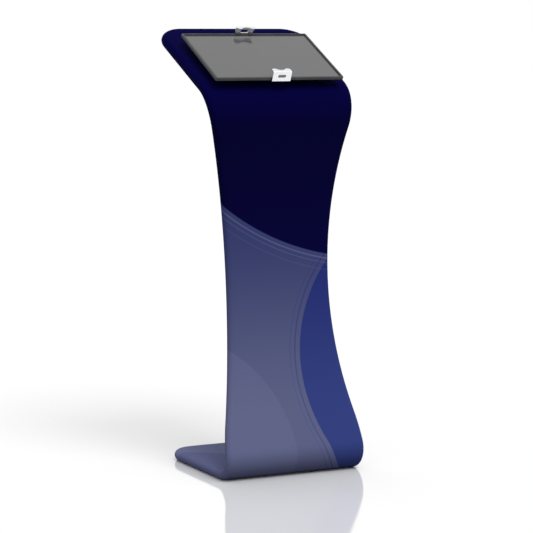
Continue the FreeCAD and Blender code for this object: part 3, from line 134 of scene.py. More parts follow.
class ShaderNet:
    """The node tree of one material or world, with short ways to add and join nodes."""

    def __init__(self, owner: bpy.types.Material | bpy.types.World) -> None:
        """Empties the owner's node tree."""
        self.owner = owner
        owner.use_nodes = True
        self.tree = owner.node_tree
        self.tree.nodes.clear()

    def feed(self, socket: bpy.types.NodeSocket, value: Any) -> None:
        """Links a Signal to the socket, or sets the socket's own value."""
        if isinstance(value, Signal):
            self.tree.links.new(value.socket, socket)
        elif hasattr(socket.default_value, "__len__") and len(socket.default_value) == 4:
            socket.default_value = (*value[:3], 1.0)
        else:
            socket.default_value = value

    def add(self, kind: str, inputs: dict[str, Any] | None = None, output: str = "",
            **settings: Any) -> Signal:
        """Adds any node.

        Args:
            kind: The node's type name, without the leading ShaderNode.
            inputs: Values or Signals by socket name.
            output: Name of the socket that is returned, if not the first in use.
            **settings: Properties set before the sockets.

        Returns:
            The chosen output as a Signal.
        """
        node = self.tree.nodes.new("ShaderNode" + kind)
        for key, value in settings.items():
            setattr(node, key, value)
        for key, value in (inputs or {}).items():
            self.feed(next(item for item in node.inputs if item.name == key and item.enabled),
                      value)
        first = next(item for item in node.outputs if item.enabled)
        return Signal(self, node.outputs[output] if output else first)

    def maths(self, operation: str, *values: Signal | float) -> Signal:
        """Adds a Math node."""
        result = self.add("Math", operation=operation)
        for socket, value in zip(result.socket.node.inputs, values):
            self.feed(socket, value)
        return result

    def place(self, scale: Triple = (1.0, 1.0, 1.0)) -> Signal:
        """Object coordinates, scaled."""
        return self.add("Mapping", {"Vector": self.add("TexCoord", output="Object"),
                                    "Scale": scale}, vector_type="POINT")

    def noise(self, where: Signal, scale: float, detail: float = 3.0,
              roughness: float = 0.55) -> Signal:
        """Noise from 0 to 1."""
        return self.add("TexNoise", {"Vector": where, "Scale": scale, "Detail": detail,
                                     "Roughness": roughness})

    def cells(self, where: Signal, inputs: dict[str, Any] | None = None,
              **settings: Any) -> Signal:
        """Distances in a pattern of cells, by default of size 1."""
        return self.add("TexVoronoi", {"Vector": where, "Scale": 1.0, **(inputs or {})},
                        "Distance", **settings)

    def between(self, value: Signal, low: float, high: float) -> Signal:
        """The value's smooth place from 0 at low to 1 at high."""
        return self.add("MapRange", {"Value": value, "From Min": low, "From Max": high},
                        interpolation_type="SMOOTHSTEP")

    def blend(self, share: Signal | float, first: Signal | Colour,
              second: Signal | Colour) -> Signal:
        """Colour mix: the first at share 0, the second at share 1."""
        return self.add("Mix", {"Factor": share, "A": first, "B": second}, data_type="RGBA")

    def bump(self, height: Signal, depth: float, strength: float = 1.0,
             over: Signal | None = None) -> Signal:
        """Normal from a height of 0 to 1 that stands for this depth in metres."""
        inputs = {"Height": height, "Distance": depth, "Strength": strength}
        if over is not None:
            inputs["Normal"] = over
        return self.add("Bump", inputs)

    def mix(self, share: Signal | float, first: Signal, second: Signal) -> Signal:
        """Shader mix: the first at share 0, the second at share 1."""
        mixed = self.add("MixShader", {"Fac": share})
        for socket, shader in zip(mixed.socket.node.inputs[1:], (first, second)):
            self.feed(socket, shader)
        return mixed

    def seen(self) -> Signal:
        """1 for the rays of the eye, of mirrors and of glass, 0 for those that light."""
        path = self.add("LightPath").socket.node.outputs
        camera, glossy, clear = (Signal(self, path[name]) for name in (
            "Is Camera Ray", "Is Glossy Ray", "Is Transmission Ray"))
        return self.maths("MAXIMUM", self.maths("MAXIMUM", camera, glossy), clear)

    def surface(self, shader: Signal) -> bpy.types.Material | bpy.types.World:
        """Ends the net in this shader."""
        kind = "World" if isinstance(self.owner, bpy.types.World) else "Material"
        out = self.tree.nodes.new("ShaderNodeOutput" + kind)
        self.tree.links.new(shader.socket, out.inputs["Surface"])
        return self.owner

    def finish(self, **inputs: Any) -> bpy.types.Material:
        """Ends the net in a Principled shader; keywords are its sockets, with _ for a space."""
        named = {key.replace("_", " "): value for key, value in inputs.items()}
        return self.surface(self.add("BsdfPrincipled", named))


@dataclass(frozen=True)
class Finish:
    """A finish that makes its material once and lends it to every piece.

    Its tone runs from the colour to the second one.
    """

    label: str
    colour: Colour
    second: Colour

    def material(self) -> bpy.types.Material:
        """The finish's material, made on first use."""
        name = type(self).__name__ + "_" + self.label
        made = bpy.data.materials.get(name)
        return made or self.make(ShaderNet(bpy.data.materials.new(name)))

    def make(self, net: ShaderNet) -> bpy.types.Material:
        """Builds the material in this net."""
        raise NotImplementedError


@dataclass(frozen=True)
class Layer:
    """One noise of a finish, and its shares in the tone and in the roughness.

    A span cuts the noise: 0 below its first number and 1 above its second.
    """

    scale: float
    detail: float
    tone: float = 0.0
    rough: float = 0.0
    span: Pair | None = None
    crumple: float = 0.55

    def read(self, net: ShaderNet) -> Signal:
        """The noise in this net."""
        noise = net.noise(net.place(), self.scale, self.detail, self.crumple)
        return net.between(noise, *self.span) if self.span else noise


@dataclass(frozen=True)
class GrainedFinish(Finish):
    """A finish with one grain in its normal, and layers of noise over it.

    The grain's scale is given along each axis. The roughness is the one that grain and layers
    start from.
    """

    roughness: float
    grain: Triple = (2400.0,) * 3
    grain_depth: float = 0.0
    grain_detail: float = 2.0
    grain_tone: float = 0.0
    grain_rough: float = 0.0
    metallic: float = 0.0
    subsurface: float = 0.0
    layers: tuple[Layer, ...] = ()

    def relief(self, net: ShaderNet) -> Signal:
        """The grain's height from 0 to 1."""
        return net.noise(net.place(self.grain), 1.0, self.grain_detail)

    def make(self, net: ShaderNet) -> bpy.types.Material:
        """Adds up the shares of grain and layers in the tone and in the roughness."""
        grain = self.relief(net)
        share = grain * self.grain_tone
        rough = grain * self.grain_rough + self.roughness
        for layer in self.layers:
            height = layer.read(net)
            share = share + height * layer.tone
            rough = rough + height * layer.rough
        normal = {"Normal": net.bump(grain, self.grain_depth)} if self.grain_depth else {}
        return net.finish(Base_Color=net.blend(share, self.colour, self.second),
                          Metallic=self.metallic, Roughness=rough, Subsurface_Scale=MM,
                          Subsurface_Weight=self.subsurface, **normal)


@dataclass(frozen=True)
class DrawnMetal(GrainedFinish):
    """Bare metal with fine lines along one axis, as drawing, rolling or brushing leaves."""

    grain: Triple = (900.0, 900.0, 30.0)
    grain_depth: float = 0.004 * MM
    grain_rough: float = 0.10
    metallic: float = 1.0
    layers: tuple[Layer, ...] = (Layer(18.0, 4.0, tone=1.0, span=(0.35, 0.7)),
                                 Layer(18.0, 4.0, rough=0.10))


@dataclass(frozen=True)
class PlatedMetal(GrainedFinish):
    """Plated steel: a satin coat with fine crystals and a faint yellow and blue cast."""

    grain: Triple = (2600.0,) * 3
    grain_depth: float = 0.004 * MM
    grain_rough: float = 0.12
    metallic: float = 1.0
    layers: tuple[Layer, ...] = (Layer(60.0, 2.0, tone=1.0, span=(0.3, 0.7)),
                                 Layer(60.0, 2.0, rough=0.08))

    def relief(self, net: ShaderNet) -> Signal:
        """Crystals, as cells."""
        return net.cells(net.place(self.grain))


@dataclass(frozen=True)
class PowderCoat(GrainedFinish):
    """Baked powder paint with its orange-peel skin, rubbed patches and specks of dust."""

    grain: Triple = (1400.0,) * 3
    grain_depth: float = 0.03 * MM
    grain_rough: float = 0.12
    layers: tuple[Layer, ...] = (Layer(26.0, 6.0, 0.5, -0.12, (0.55, 0.8), 0.7),
                                 Layer(900.0, 1.0, tone=0.25, span=(0.72, 0.78)))


@dataclass(frozen=True)
class MouldedPlastic(GrainedFinish):
    """Moulded plastic or rubber: spark-eroded grain and flow clouds."""

    grain_depth: float = 0.015 * MM
    grain_rough: float = 0.14
    layers: tuple[Layer, ...] = (Layer(45.0, 4.0, 1.0, 0.06, (0.35, 0.75)),)


@dataclass(frozen=True)
class AnodisedShell(GrainedFinish):
    """Bead-blasted and anodised aluminium: fine sparkle, and marks of handling."""

    grain: Triple = (3800.0,) * 3
    grain_depth: float = 0.006 * MM
    grain_detail: float = 1.0
    grain_tone: float = 0.25
    grain_rough: float = 0.10
    metallic: float = 0.55
    layers: tuple[Layer, ...] = (Layer(14.0, 5.0, 0.6, -0.08, (0.45, 0.75), 0.65),)


@dataclass(frozen=True)
class ScreenGlass(GrainedFinish):
    """Laminated cover glass: mirror coat, light smears, dust; its grey is a painted reflection."""

    layers: tuple[Layer, ...] = (Layer(9.0, 5.0, 0.5, 0.05, (0.5, 0.8), 0.7),
                                 Layer(1500.0, 1.0, 0.3, 0.1, (0.76, 0.8)))


@dataclass(frozen=True)
class FoilWrap(Finish):
    """Crinkled foil round a battery cell."""

    def make(self, net: ShaderNet) -> bpy.types.Material:
        """Crinkles from stretched cells."""
        crease = net.cells(net.place((160.0, 64.0, 160.0)), feature="DISTANCE_TO_EDGE")
        cloud = net.noise(net.place(), 30.0)
        return net.finish(Base_Color=net.blend(cloud, self.colour, self.second), Metallic=0.9,
                          Roughness=cloud * 0.2 + 0.3, Normal=net.bump(crease, 0.2 * MM))


@dataclass(frozen=True)
class CircuitBoard(Finish):
    """Solder resist over fine tracks, with bare pads."""

    pad: Colour

    def make(self, net: ShaderNet) -> bpy.types.Material:
        """Tracks from bricks, pads from a fine grid of cells."""
        where = net.place()
        tracks = net.add("TexBrick", {
            "Vector": where, "Color1": BLACK, "Color2": (0.25,) * 3, "Mortar": WHITE,
            "Scale": 260.0, "Mortar Size": 0.05, "Mortar Smooth": 0.2}, "Fac", offset=0.37)
        cells = net.cells(where, {"Scale": 420.0, "Randomness": 0.35}, distance="CHEBYCHEV")
        pads = net.between(cells, 0.16, 0.12)
        tone = net.blend(pads, net.blend(tracks, self.colour, self.second), self.pad)
        return net.finish(Base_Color=tone, Metallic=pads * 0.8, Roughness=pads * -0.1 + 0.4,
                          Normal=net.bump(tracks + pads, 0.05 * MM))


@dataclass(frozen=True)
class WovenTape(Finish):
    """Herringbone zip tape, in fine ribs that run along it."""

    rib_scale: float = 450.0
    twill_scale: float = 600.0

    def make(self, net: ShaderNet) -> bpy.types.Material:
        """Crossed fine waves for the ribs and the herringbone."""
        where = net.place()
        ribs = net.add("TexWave", {"Vector": where, "Scale": self.rib_scale,
                                   "Distortion": 0.4}, bands_direction="Z")
        twill = net.add("TexWave", {"Vector": where, "Scale": self.twill_scale},
                        bands_direction="DIAGONAL")
        weave = ribs * 0.6 + twill * 0.4
        fuzz = net.noise(where, 700.0)
        tone = net.blend(weave * 0.5 + fuzz * 0.3, self.colour, self.second)
        return net.finish(Base_Color=tone, Roughness=fuzz * 0.1 + 0.75, Sheen_Weight=0.25,
                          Normal=net.bump(weave, 0.12 * MM))


@dataclass(frozen=True)
class SewingThread(Finish):
    """Twisted polyester thread."""

    def make(self, net: ShaderNet) -> bpy.types.Material:
        """Twist as slanted bands."""
        twist = net.add("TexWave", {"Vector": net.place(), "Scale": 900.0},
                        bands_direction="DIAGONAL")
        return net.finish(Base_Color=net.blend(twist, self.colour, self.second), Roughness=0.55,
                          Sheen_Weight=0.3, Normal=net.bump(twist, 0.05 * MM))


@dataclass(frozen=True)
class Arc:
    """One round-edged field of the print, in metres on the unrolled panel."""

    across: float
    station: float
    radius: float
    soft: float = 0.0012


@dataclass(frozen=True)
class PrintedKnit(Finish):
    """Stretch polyester knit, printed in broad arcs from navy down to slate.

    The panel map gives metres: across from the middle, and station along the tube from the
    foot's rear end. The back panel's map is one metre further across. The finish's two tones are
    those of the ground, which is slate. A span gives the stations between which one colour fades
    into the next, and a line its distance from its arc, its width and its strength. Two tones are
    painted light: the head's navy is painted bluer for the stronger light on the head's top, and
    the foot's tones are painted lighter than the slate to cancel the shadow that the panel and
    head cast on the foot.
    """

    # The head's navy is painted light: it is painted bluer than the front's navy, for the stronger
    # light that falls on the head's top from above.
    navy_head_painted_light: Colour = shade(3, 1, 59)
    navy_top: Colour = shade(6, 4, 52)
    navy_low: Colour = shade(8, 6, 60)
    royal_top: Colour = shade(42, 52, 124)
    royal_low: Colour = shade(56, 69, 134)
    # Both foot tones are painted light: they are painted lighter than the slate, to cancel the
    # shadow that the panel and head cast on the foot's top.
    foot_painted_light_tone: Colour = shade(118, 122, 158)
    foot_dark: Colour = shade(106, 111, 152)
    line_tone: Colour = shade(122, 128, 166)
    navy_arc: Arc = Arc(0.26, 1.50, 0.66)
    royal_arc: Arc = Arc(0.47, 0.57, 0.43)
    pale_arc: Arc = Arc(-0.34, 0.34, 0.34)
    foot_arc: Arc = Arc(-0.30, 0.30, 0.26)
    pale_strength: float = 0.2
    slate_span: Pair = (0.42, 0.98)
    royal_span: Pair = (0.4, 0.9)
    navy_span: Pair = (0.85, 1.30)
    # Stations over which the head's painted light fades in across the neck.
    head_painted_light_span: Pair = (1.15, 1.27)
    foot_span: Pair = (0.278, 0.262)
    royal_lines: tuple[Triple, ...] = ((0.012, 0.004, 0.5), (0.026, 0.0022, 0.35))
    navy_lines: tuple[Triple, ...] = ((0.010, 0.003, 0.45), (0.022, 0.002, 0.3),
                                    (0.040, 0.0015, 0.2))
    seam_width: float = 0.7 * MM
    seam_depth: float = 0.35 * MM
    seam_tone: Colour = (0.004, 0.004, 0.012)
    seam_strength: float = 0.35
    wale: float = 0.9 * MM
    course: float = 0.7 * MM
    knit_depth: float = 0.10 * MM
    mottle: Layer = Layer(240.0, 4.0, tone=0.10, rough=0.08)
    roughness: float = 0.78
    sheen: Colour = shade(120, 126, 190)

    def disc(self, net: ShaderNet, x: Signal, y: Signal, arc: Arc, grow: float = 0.0) -> Signal:
        """1 inside the arc's circle, 0 outside, with a printed edge."""
        across, along = x - arc.across, y - arc.station
        reach = net.maths("SQRT", across * across + along * along)
        edge = arc.radius + grow
        return net.between(reach, edge + arc.soft, edge - arc.soft)

    def make(self, net: ShaderNet) -> bpy.types.Material:
        """Print in the colour, knit in the normal, seam as a dark sunk line."""
        panel = net.add("UVMap", uv_map="panel")
        u, y = (net.add("SeparateXYZ", {"Vector": panel}, axis) for axis in "XY")
        x = u - net.maths("GREATER_THAN", u, BACK_SHIFT / 2) * BACK_SHIFT
        slate = net.blend(net.between(y, *self.slate_span), self.colour, self.second)
        tone = net.blend(self.disc(net, x, y, self.pale_arc) * self.pale_strength, slate,
                         self.line_tone)
        royal = net.blend(net.between(y, *self.royal_span), self.royal_low, self.royal_top)
        tone = net.blend(self.disc(net, x, y, self.royal_arc), tone, royal)
        for arc, colour, lines in ((self.royal_arc, royal, self.royal_lines),
                                   (self.navy_arc, self.line_tone, self.navy_lines)):
            for grow, width, strength in lines:
                line = self.disc(net, x, y, arc, grow + width) - self.disc(net, x, y, arc, grow)
                tone = net.blend(line * strength, tone, colour)
        navy = net.blend(net.between(y, *self.navy_span), self.navy_low, self.navy_top)
        # Painted light: across the neck the navy turns to the head's bluer tone, for the stronger
        # light on the head's top.
        navy = net.blend(net.between(y, *self.head_painted_light_span), navy, self.navy_head_painted_light)
        tone = net.blend(self.disc(net, x, y, self.navy_arc), tone, navy)
        # Painted light on the foot: its lightened tones, darker inside the foot arc.
        foot = net.blend(self.disc(net, x, y, self.foot_arc), self.foot_painted_light_tone, self.foot_dark)
        tone = net.blend(net.between(y, *self.foot_span), tone, foot)
        seam = net.add("Attribute", output="Fac", attribute_name="seam")
        groove = net.between(seam, 0.0, self.seam_width)
        mottle = self.mottle.read(net)
        tone = net.blend(groove * -self.seam_strength + self.seam_strength, tone, self.seam_tone)
        tone = net.blend(mottle * self.mottle.tone, tone, BLACK)
        stitch = net.add("CombineXYZ", {"X": x / self.wale, "Y": y / self.course})
        loops = net.cells(stitch, {"Smoothness": 0.6, "Randomness": 0.12},
                          feature="SMOOTH_F1", voronoi_dimensions="2D")
        knit = net.bump(loops, self.knit_depth, 0.35)
        return net.finish(Base_Color=tone, Sheen_Weight=0.02, Sheen_Roughness=0.45,
                          Sheen_Tint=self.sheen, Specular_IOR_Level=0.02,
                          Roughness=mottle * self.mottle.rough + self.roughness,
                          Normal=net.bump(groove, self.seam_depth, 0.8, knit))


FINISHES: dict[Slot, Finish] = {
    Slot.COVER: PrintedKnit("printed", shade(98, 103, 140), shade(62, 69, 121)),
    Slot.ZIP_TAPE: WovenTape("tape", shade(22, 22, 48), shade(48, 48, 84)),
    Slot.ZIP_NYLON: MouldedPlastic("nylon", shade(26, 27, 52), shade(38, 39, 66), 0.31),
    Slot.ZIP_METAL: PlatedMetal("cast", shade(176, 178, 184), shade(150, 152, 160), 0.27),
    Slot.TUBE: DrawnMetal("aluminium", shade(214, 215, 218), shade(214, 215, 218, 0.88), 0.24),
    Slot.PLATED: PlatedMetal("zinc", shade(196, 198, 202), shade(188, 190, 178), 0.20),
    Slot.SPRING: DrawnMetal("spring", shade(96, 104, 128), shade(96, 104, 128, 0.88), 0.16,
                            (60.0, 60.0, 1200.0)),
    Slot.PLATE: PowderCoat("plate", shade(36, 37, 40), shade(72, 73, 76), 0.46),
    Slot.HOLDER: PowderCoat("holder", shade(28, 29, 31), shade(60, 61, 64), 0.41),
    Slot.JAW: DrawnMetal("jaw", shade(238, 239, 241), shade(238, 239, 241, 0.95), 0.06,
                         (1500.0, 60.0, 60.0), 0.001 * MM),
    Slot.GEAR: MouldedPlastic("acetal", shade(232, 230, 222), shade(222, 219, 208), 0.26,
                              subsurface=0.1),
    Slot.RUBBER: MouldedPlastic("rubber", shade(24, 24, 25), shade(40, 40, 41), 0.63,
                                (1300.0,) * 3, 0.04 * MM),
    Slot.CASING: AnodisedShell("casing", shade(56, 57, 60), shade(74, 75, 78), 0.38),
    # The glass's grey base colour is a painted reflection of the bright surroundings, added over
    # the shader's own mirror reflection; the screen under it is unlit and near black.
    Slot.GLASS: ScreenGlass("screen", shade(84, 84, 85), shade(90, 90, 91), 0.07),
    Slot.DISPLAY: MouldedPlastic("display", shade(22, 23, 27), shade(30, 31, 36), 0.21),
    Slot.BATTERY: FoilWrap("cell", shade(66, 68, 72), shade(66, 68, 72, 0.75)),
    Slot.BOARD: CircuitBoard("board", shade(18, 58, 44), shade(28, 84, 62), shade(206, 172, 96))}
THREAD = SewingThread("thread", shade(26, 26, 60), shade(70, 70, 112))


def select_only(piece: Piece) -> None:
    """Leaves this object alone selected and active."""
    bpy.ops.object.select_all(action="DESELECT")
    piece.select_set(True)
    bpy.context.view_layer.objects.active = piece


def apply_modifiers(piece: Piece) -> None:
    """Applies every modifier of the piece, in order."""
    select_only(piece)
    for modifier in list(piece.modifiers):
        bpy.ops.object.modifier_apply(modifier=modifier.name)


def add_piece(operator: Callable[..., Any], **settings: Any) -> Piece:
    """Adds an object by this operator, with nothing else selected and its place in its mesh."""
    bpy.ops.object.select_all(action="DESELECT")
    operator(**settings)
    bpy.ops.object.transform_apply()
    return bpy.context.object


def link_object(name: str, data: bpy.types.ID) -> Piece:
    """A new object of this data, in the scene."""
    item = bpy.data.objects.new(name, data)
    bpy.context.scene.collection.objects.link(item)
    return item


def break_edges(piece: Piece, width: float, angle: float = SMOOTH_ANGLE) -> None:
    """Bevels the piece's edges that turn by more than this angle."""
    edge = piece.modifiers.new("edge", "BEVEL")
    edge.width = width
    edge.segments = 2
    edge.limit_method = "ANGLE"
    edge.angle_limit = angle
    apply_modifiers(piece)


def settle(piece: Piece, name: str, body: str, slot: Slot, finish: Finish | None = None) -> None:
    """Puts a new piece's place in its mesh, names it, dresses it and lets it ride.

    Args:
        piece: The new mesh object.
        name: Its name in the table of pieces.
        body: The body that carries it.
        slot: Its material slot.
        finish: Its finish, if it isn't the slot's own.
    """
    select_only(piece)
    bpy.ops.object.transform_apply()
    piece.name = name
    piece.data.name = name
    piece.data.materials.clear()
    piece.data.materials.append((finish or FINISHES[slot]).material())
    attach(piece, body)
    LOG.info("%s: %d faces on %s", name, len(piece.data.polygons), body)


def dress(*names: str) -> None:
    """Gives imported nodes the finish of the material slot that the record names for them."""
    slots = {part["node"]: Slot(part["material_slot"]) for part in frame["record"]["subparts"]}
    for name in names:
        material = FINISHES[slots[name]].material()
        for slot in frame["nodes"][name].material_slots:
            slot.material = material
        LOG.info("%s: %s", name, material.name)


def body_of(node: str) -> str:
    """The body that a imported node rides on."""
    return next(body for body, nodes in frame["record"]["behaviour"]["bodies"].items()
                if node in nodes)


class Bend:
    """The arc that rounds the corner at b between the lines a-b and b-c of the side view."""

    def __init__(self, a: Vector, b: Vector, c: Vector, radius: float) -> None:
        """Works out the arc's ends and centre."""
        self.into = (b - a).normalized()
        self.out = (c - b).normalized()
        self.turn = self.into.angle(self.out)
        self.radius = radius
        reach = radius * math.tan(self.turn / 2)
        self.start = b - self.into * reach
        self.end = b + self.out * reach
        inward = (self.out - self.into).normalized()
        self.centre = b + inward * (radius / math.cos(self.turn / 2))

    def at(self, distance: float) -> tuple[Vector, Vector]:
        """Point and heading at this distance along the arc."""
        side = (self.start - self.centre).normalized()
        angle = distance / self.radius
        point = self.centre + (side * math.cos(angle) + self.into * math.sin(angle)) * self.radius
        return point, self.into * math.cos(angle) - side * math.sin(angle)


class Blend:
    """Convex arc that joins a straight side to the waist's hollow arc in the front view."""

    def __init__(self, offset: float, slope: float, waist: Triple,
                 radius: float, towards_foot: bool) -> None:
        """Works out where the blend touches the line and the waist.

        Args:
            offset: Half width of the straight side at station 0.
            slope: Gain in half width along the side.
            waist: Station, centre's distance across, and radius of the waist's arc.
            radius: The blend's own radius.
            towards_foot: Whether it is the blend on the foot's side.
        """
        station, centre, waist_radius = waist
        self.radius = radius
        lean = math.hypot(1, slope)
        drop = offset - radius * lean - centre
        a = 1 + slope ** 2
        b = 2 * (slope * drop - station)
        c = station ** 2 + drop ** 2 - (waist_radius + radius) ** 2
        root = math.sqrt(b * b - 4 * a * c)
        self.station = (-b - root) / (2 * a) if towards_foot else (-b + root) / (2 * a)
        self.width = offset + slope * self.station - radius * lean
        self.line_station = self.station - slope * radius / lean
        self.waist_station = self.station + (station - self.station) * radius / (
            waist_radius + radius)


@dataclass
class LoopForm:
    """The tube loop's centre line: its side view, and its half width along that.

    The reach is the distance from the centre line to the cloth's outer face, and so it is the
    height of the foot's line over the floor. A taper is the loss or gain of half width along a
    straight side.
    """

    reach: float = 13.15 * MM
    foot_length: float = 348 * MM
    waist_setback: float = 178.5 * MM
    waist_height: float = 495.5 * MM
    neck_setback: float = 89.3 * MM
    neck_height: float = 920.5 * MM
    head_length: float = 364 * MM
    head_tilt: float = math.radians(26.1)
    foot_bend_radius: float = 45 * MM
    waist_bend_radius: float = 1270 * MM
    neck_bend_radius: float = 90 * MM
    foot_half_width: float = 192.5 * MM
    foot_taper: float = 0.046
    head_half_width: float = 196.5 * MM
    head_taper: float = 0.026
    waist_half_width: float = 127.3 * MM
    waist_station: float = 791 * MM
    waist_side_radius: float = 1660 * MM
    foot_blend_radius: float = 550 * MM
    head_blend_radius: float = 500 * MM
    foot_corner_radius: float = 45 * MM
    head_corner_radius: float = 56 * MM
    zip_length: float = 260 * MM

    def __post_init__(self) -> None:
        """Works out bends, stations and blends from the sizes."""
        corner = Vector((0, -self.foot_length / 2, self.reach))
        neck = corner + Vector((0, self.neck_setback, self.neck_height))
        head = Vector((0, math.cos(self.head_tilt), math.sin(self.head_tilt)))
        self.points = [corner + Vector((0, self.foot_length, 0)), corner,
                       corner + Vector((0, self.waist_setback, self.waist_height)),
                       neck, neck + head * self.head_length]
        radii = (self.foot_bend_radius, self.waist_bend_radius, self.neck_bend_radius)
        self.bends = [Bend(*self.points[i:i + 3], radius) for i, radius in enumerate(radii)]
        self.spans = []
        station = 0.0
        last = self.points[0]
        for bend in self.bends:
            start = station + (bend.start - last).length
            station = start + bend.turn * bend.radius
            self.spans.append((start, station))
            last = bend.end
        self.length = station + (self.points[-1] - last).length
        self.waist_centre = self.waist_half_width + self.waist_side_radius
        waist = (self.waist_station, self.waist_centre, self.waist_side_radius)
        self.head_offset = self.head_half_width - self.head_taper * self.length
        self.foot_blend = Blend(self.foot_half_width, -self.foot_taper, waist,
                                self.foot_blend_radius, True)
        self.head_blend = Blend(self.head_offset, self.head_taper, waist,
                                self.head_blend_radius, False)

    def at(self, station: float) -> tuple[Vector, Vector]:
        """Point of the side view and its heading at this station."""
        last, base = self.points[0], 0.0
        for bend, (start, end) in zip(self.bends, self.spans):
            if station <= start:
                return last + bend.into * (station - base), bend.into
            if station <= end:
                return bend.at(station - start)
            last, base = bend.end, end
        heading = self.bends[-1].out
        return last + heading * (station - base), heading

    def half_width(self, station: float) -> Pair:
        """Half width of the tube's centre line at this station, and its gain."""
        if station <= self.foot_blend.line_station:
            return self.foot_half_width - self.foot_taper * station, -self.foot_taper
        if station >= self.head_blend.line_station:
            return self.head_offset + self.head_taper * station, self.head_taper
        for blend, inside in ((self.foot_blend, station < self.foot_blend.waist_station),
                              (self.head_blend, station > self.head_blend.waist_station)):
            if inside:
                along = station - blend.station
                rise = math.sqrt(blend.radius ** 2 - along ** 2)
                return blend.width + rise, -along / rise
        along = station - self.waist_station
        rise = math.sqrt(self.waist_side_radius ** 2 - along ** 2)
        return self.waist_centre - rise, along / rise


@dataclass
class Row:
    """One line of the cover's plan: its station, half width and the side's outward normal."""

    station: float
    half_width: float
    out_across: float
    out_along: float


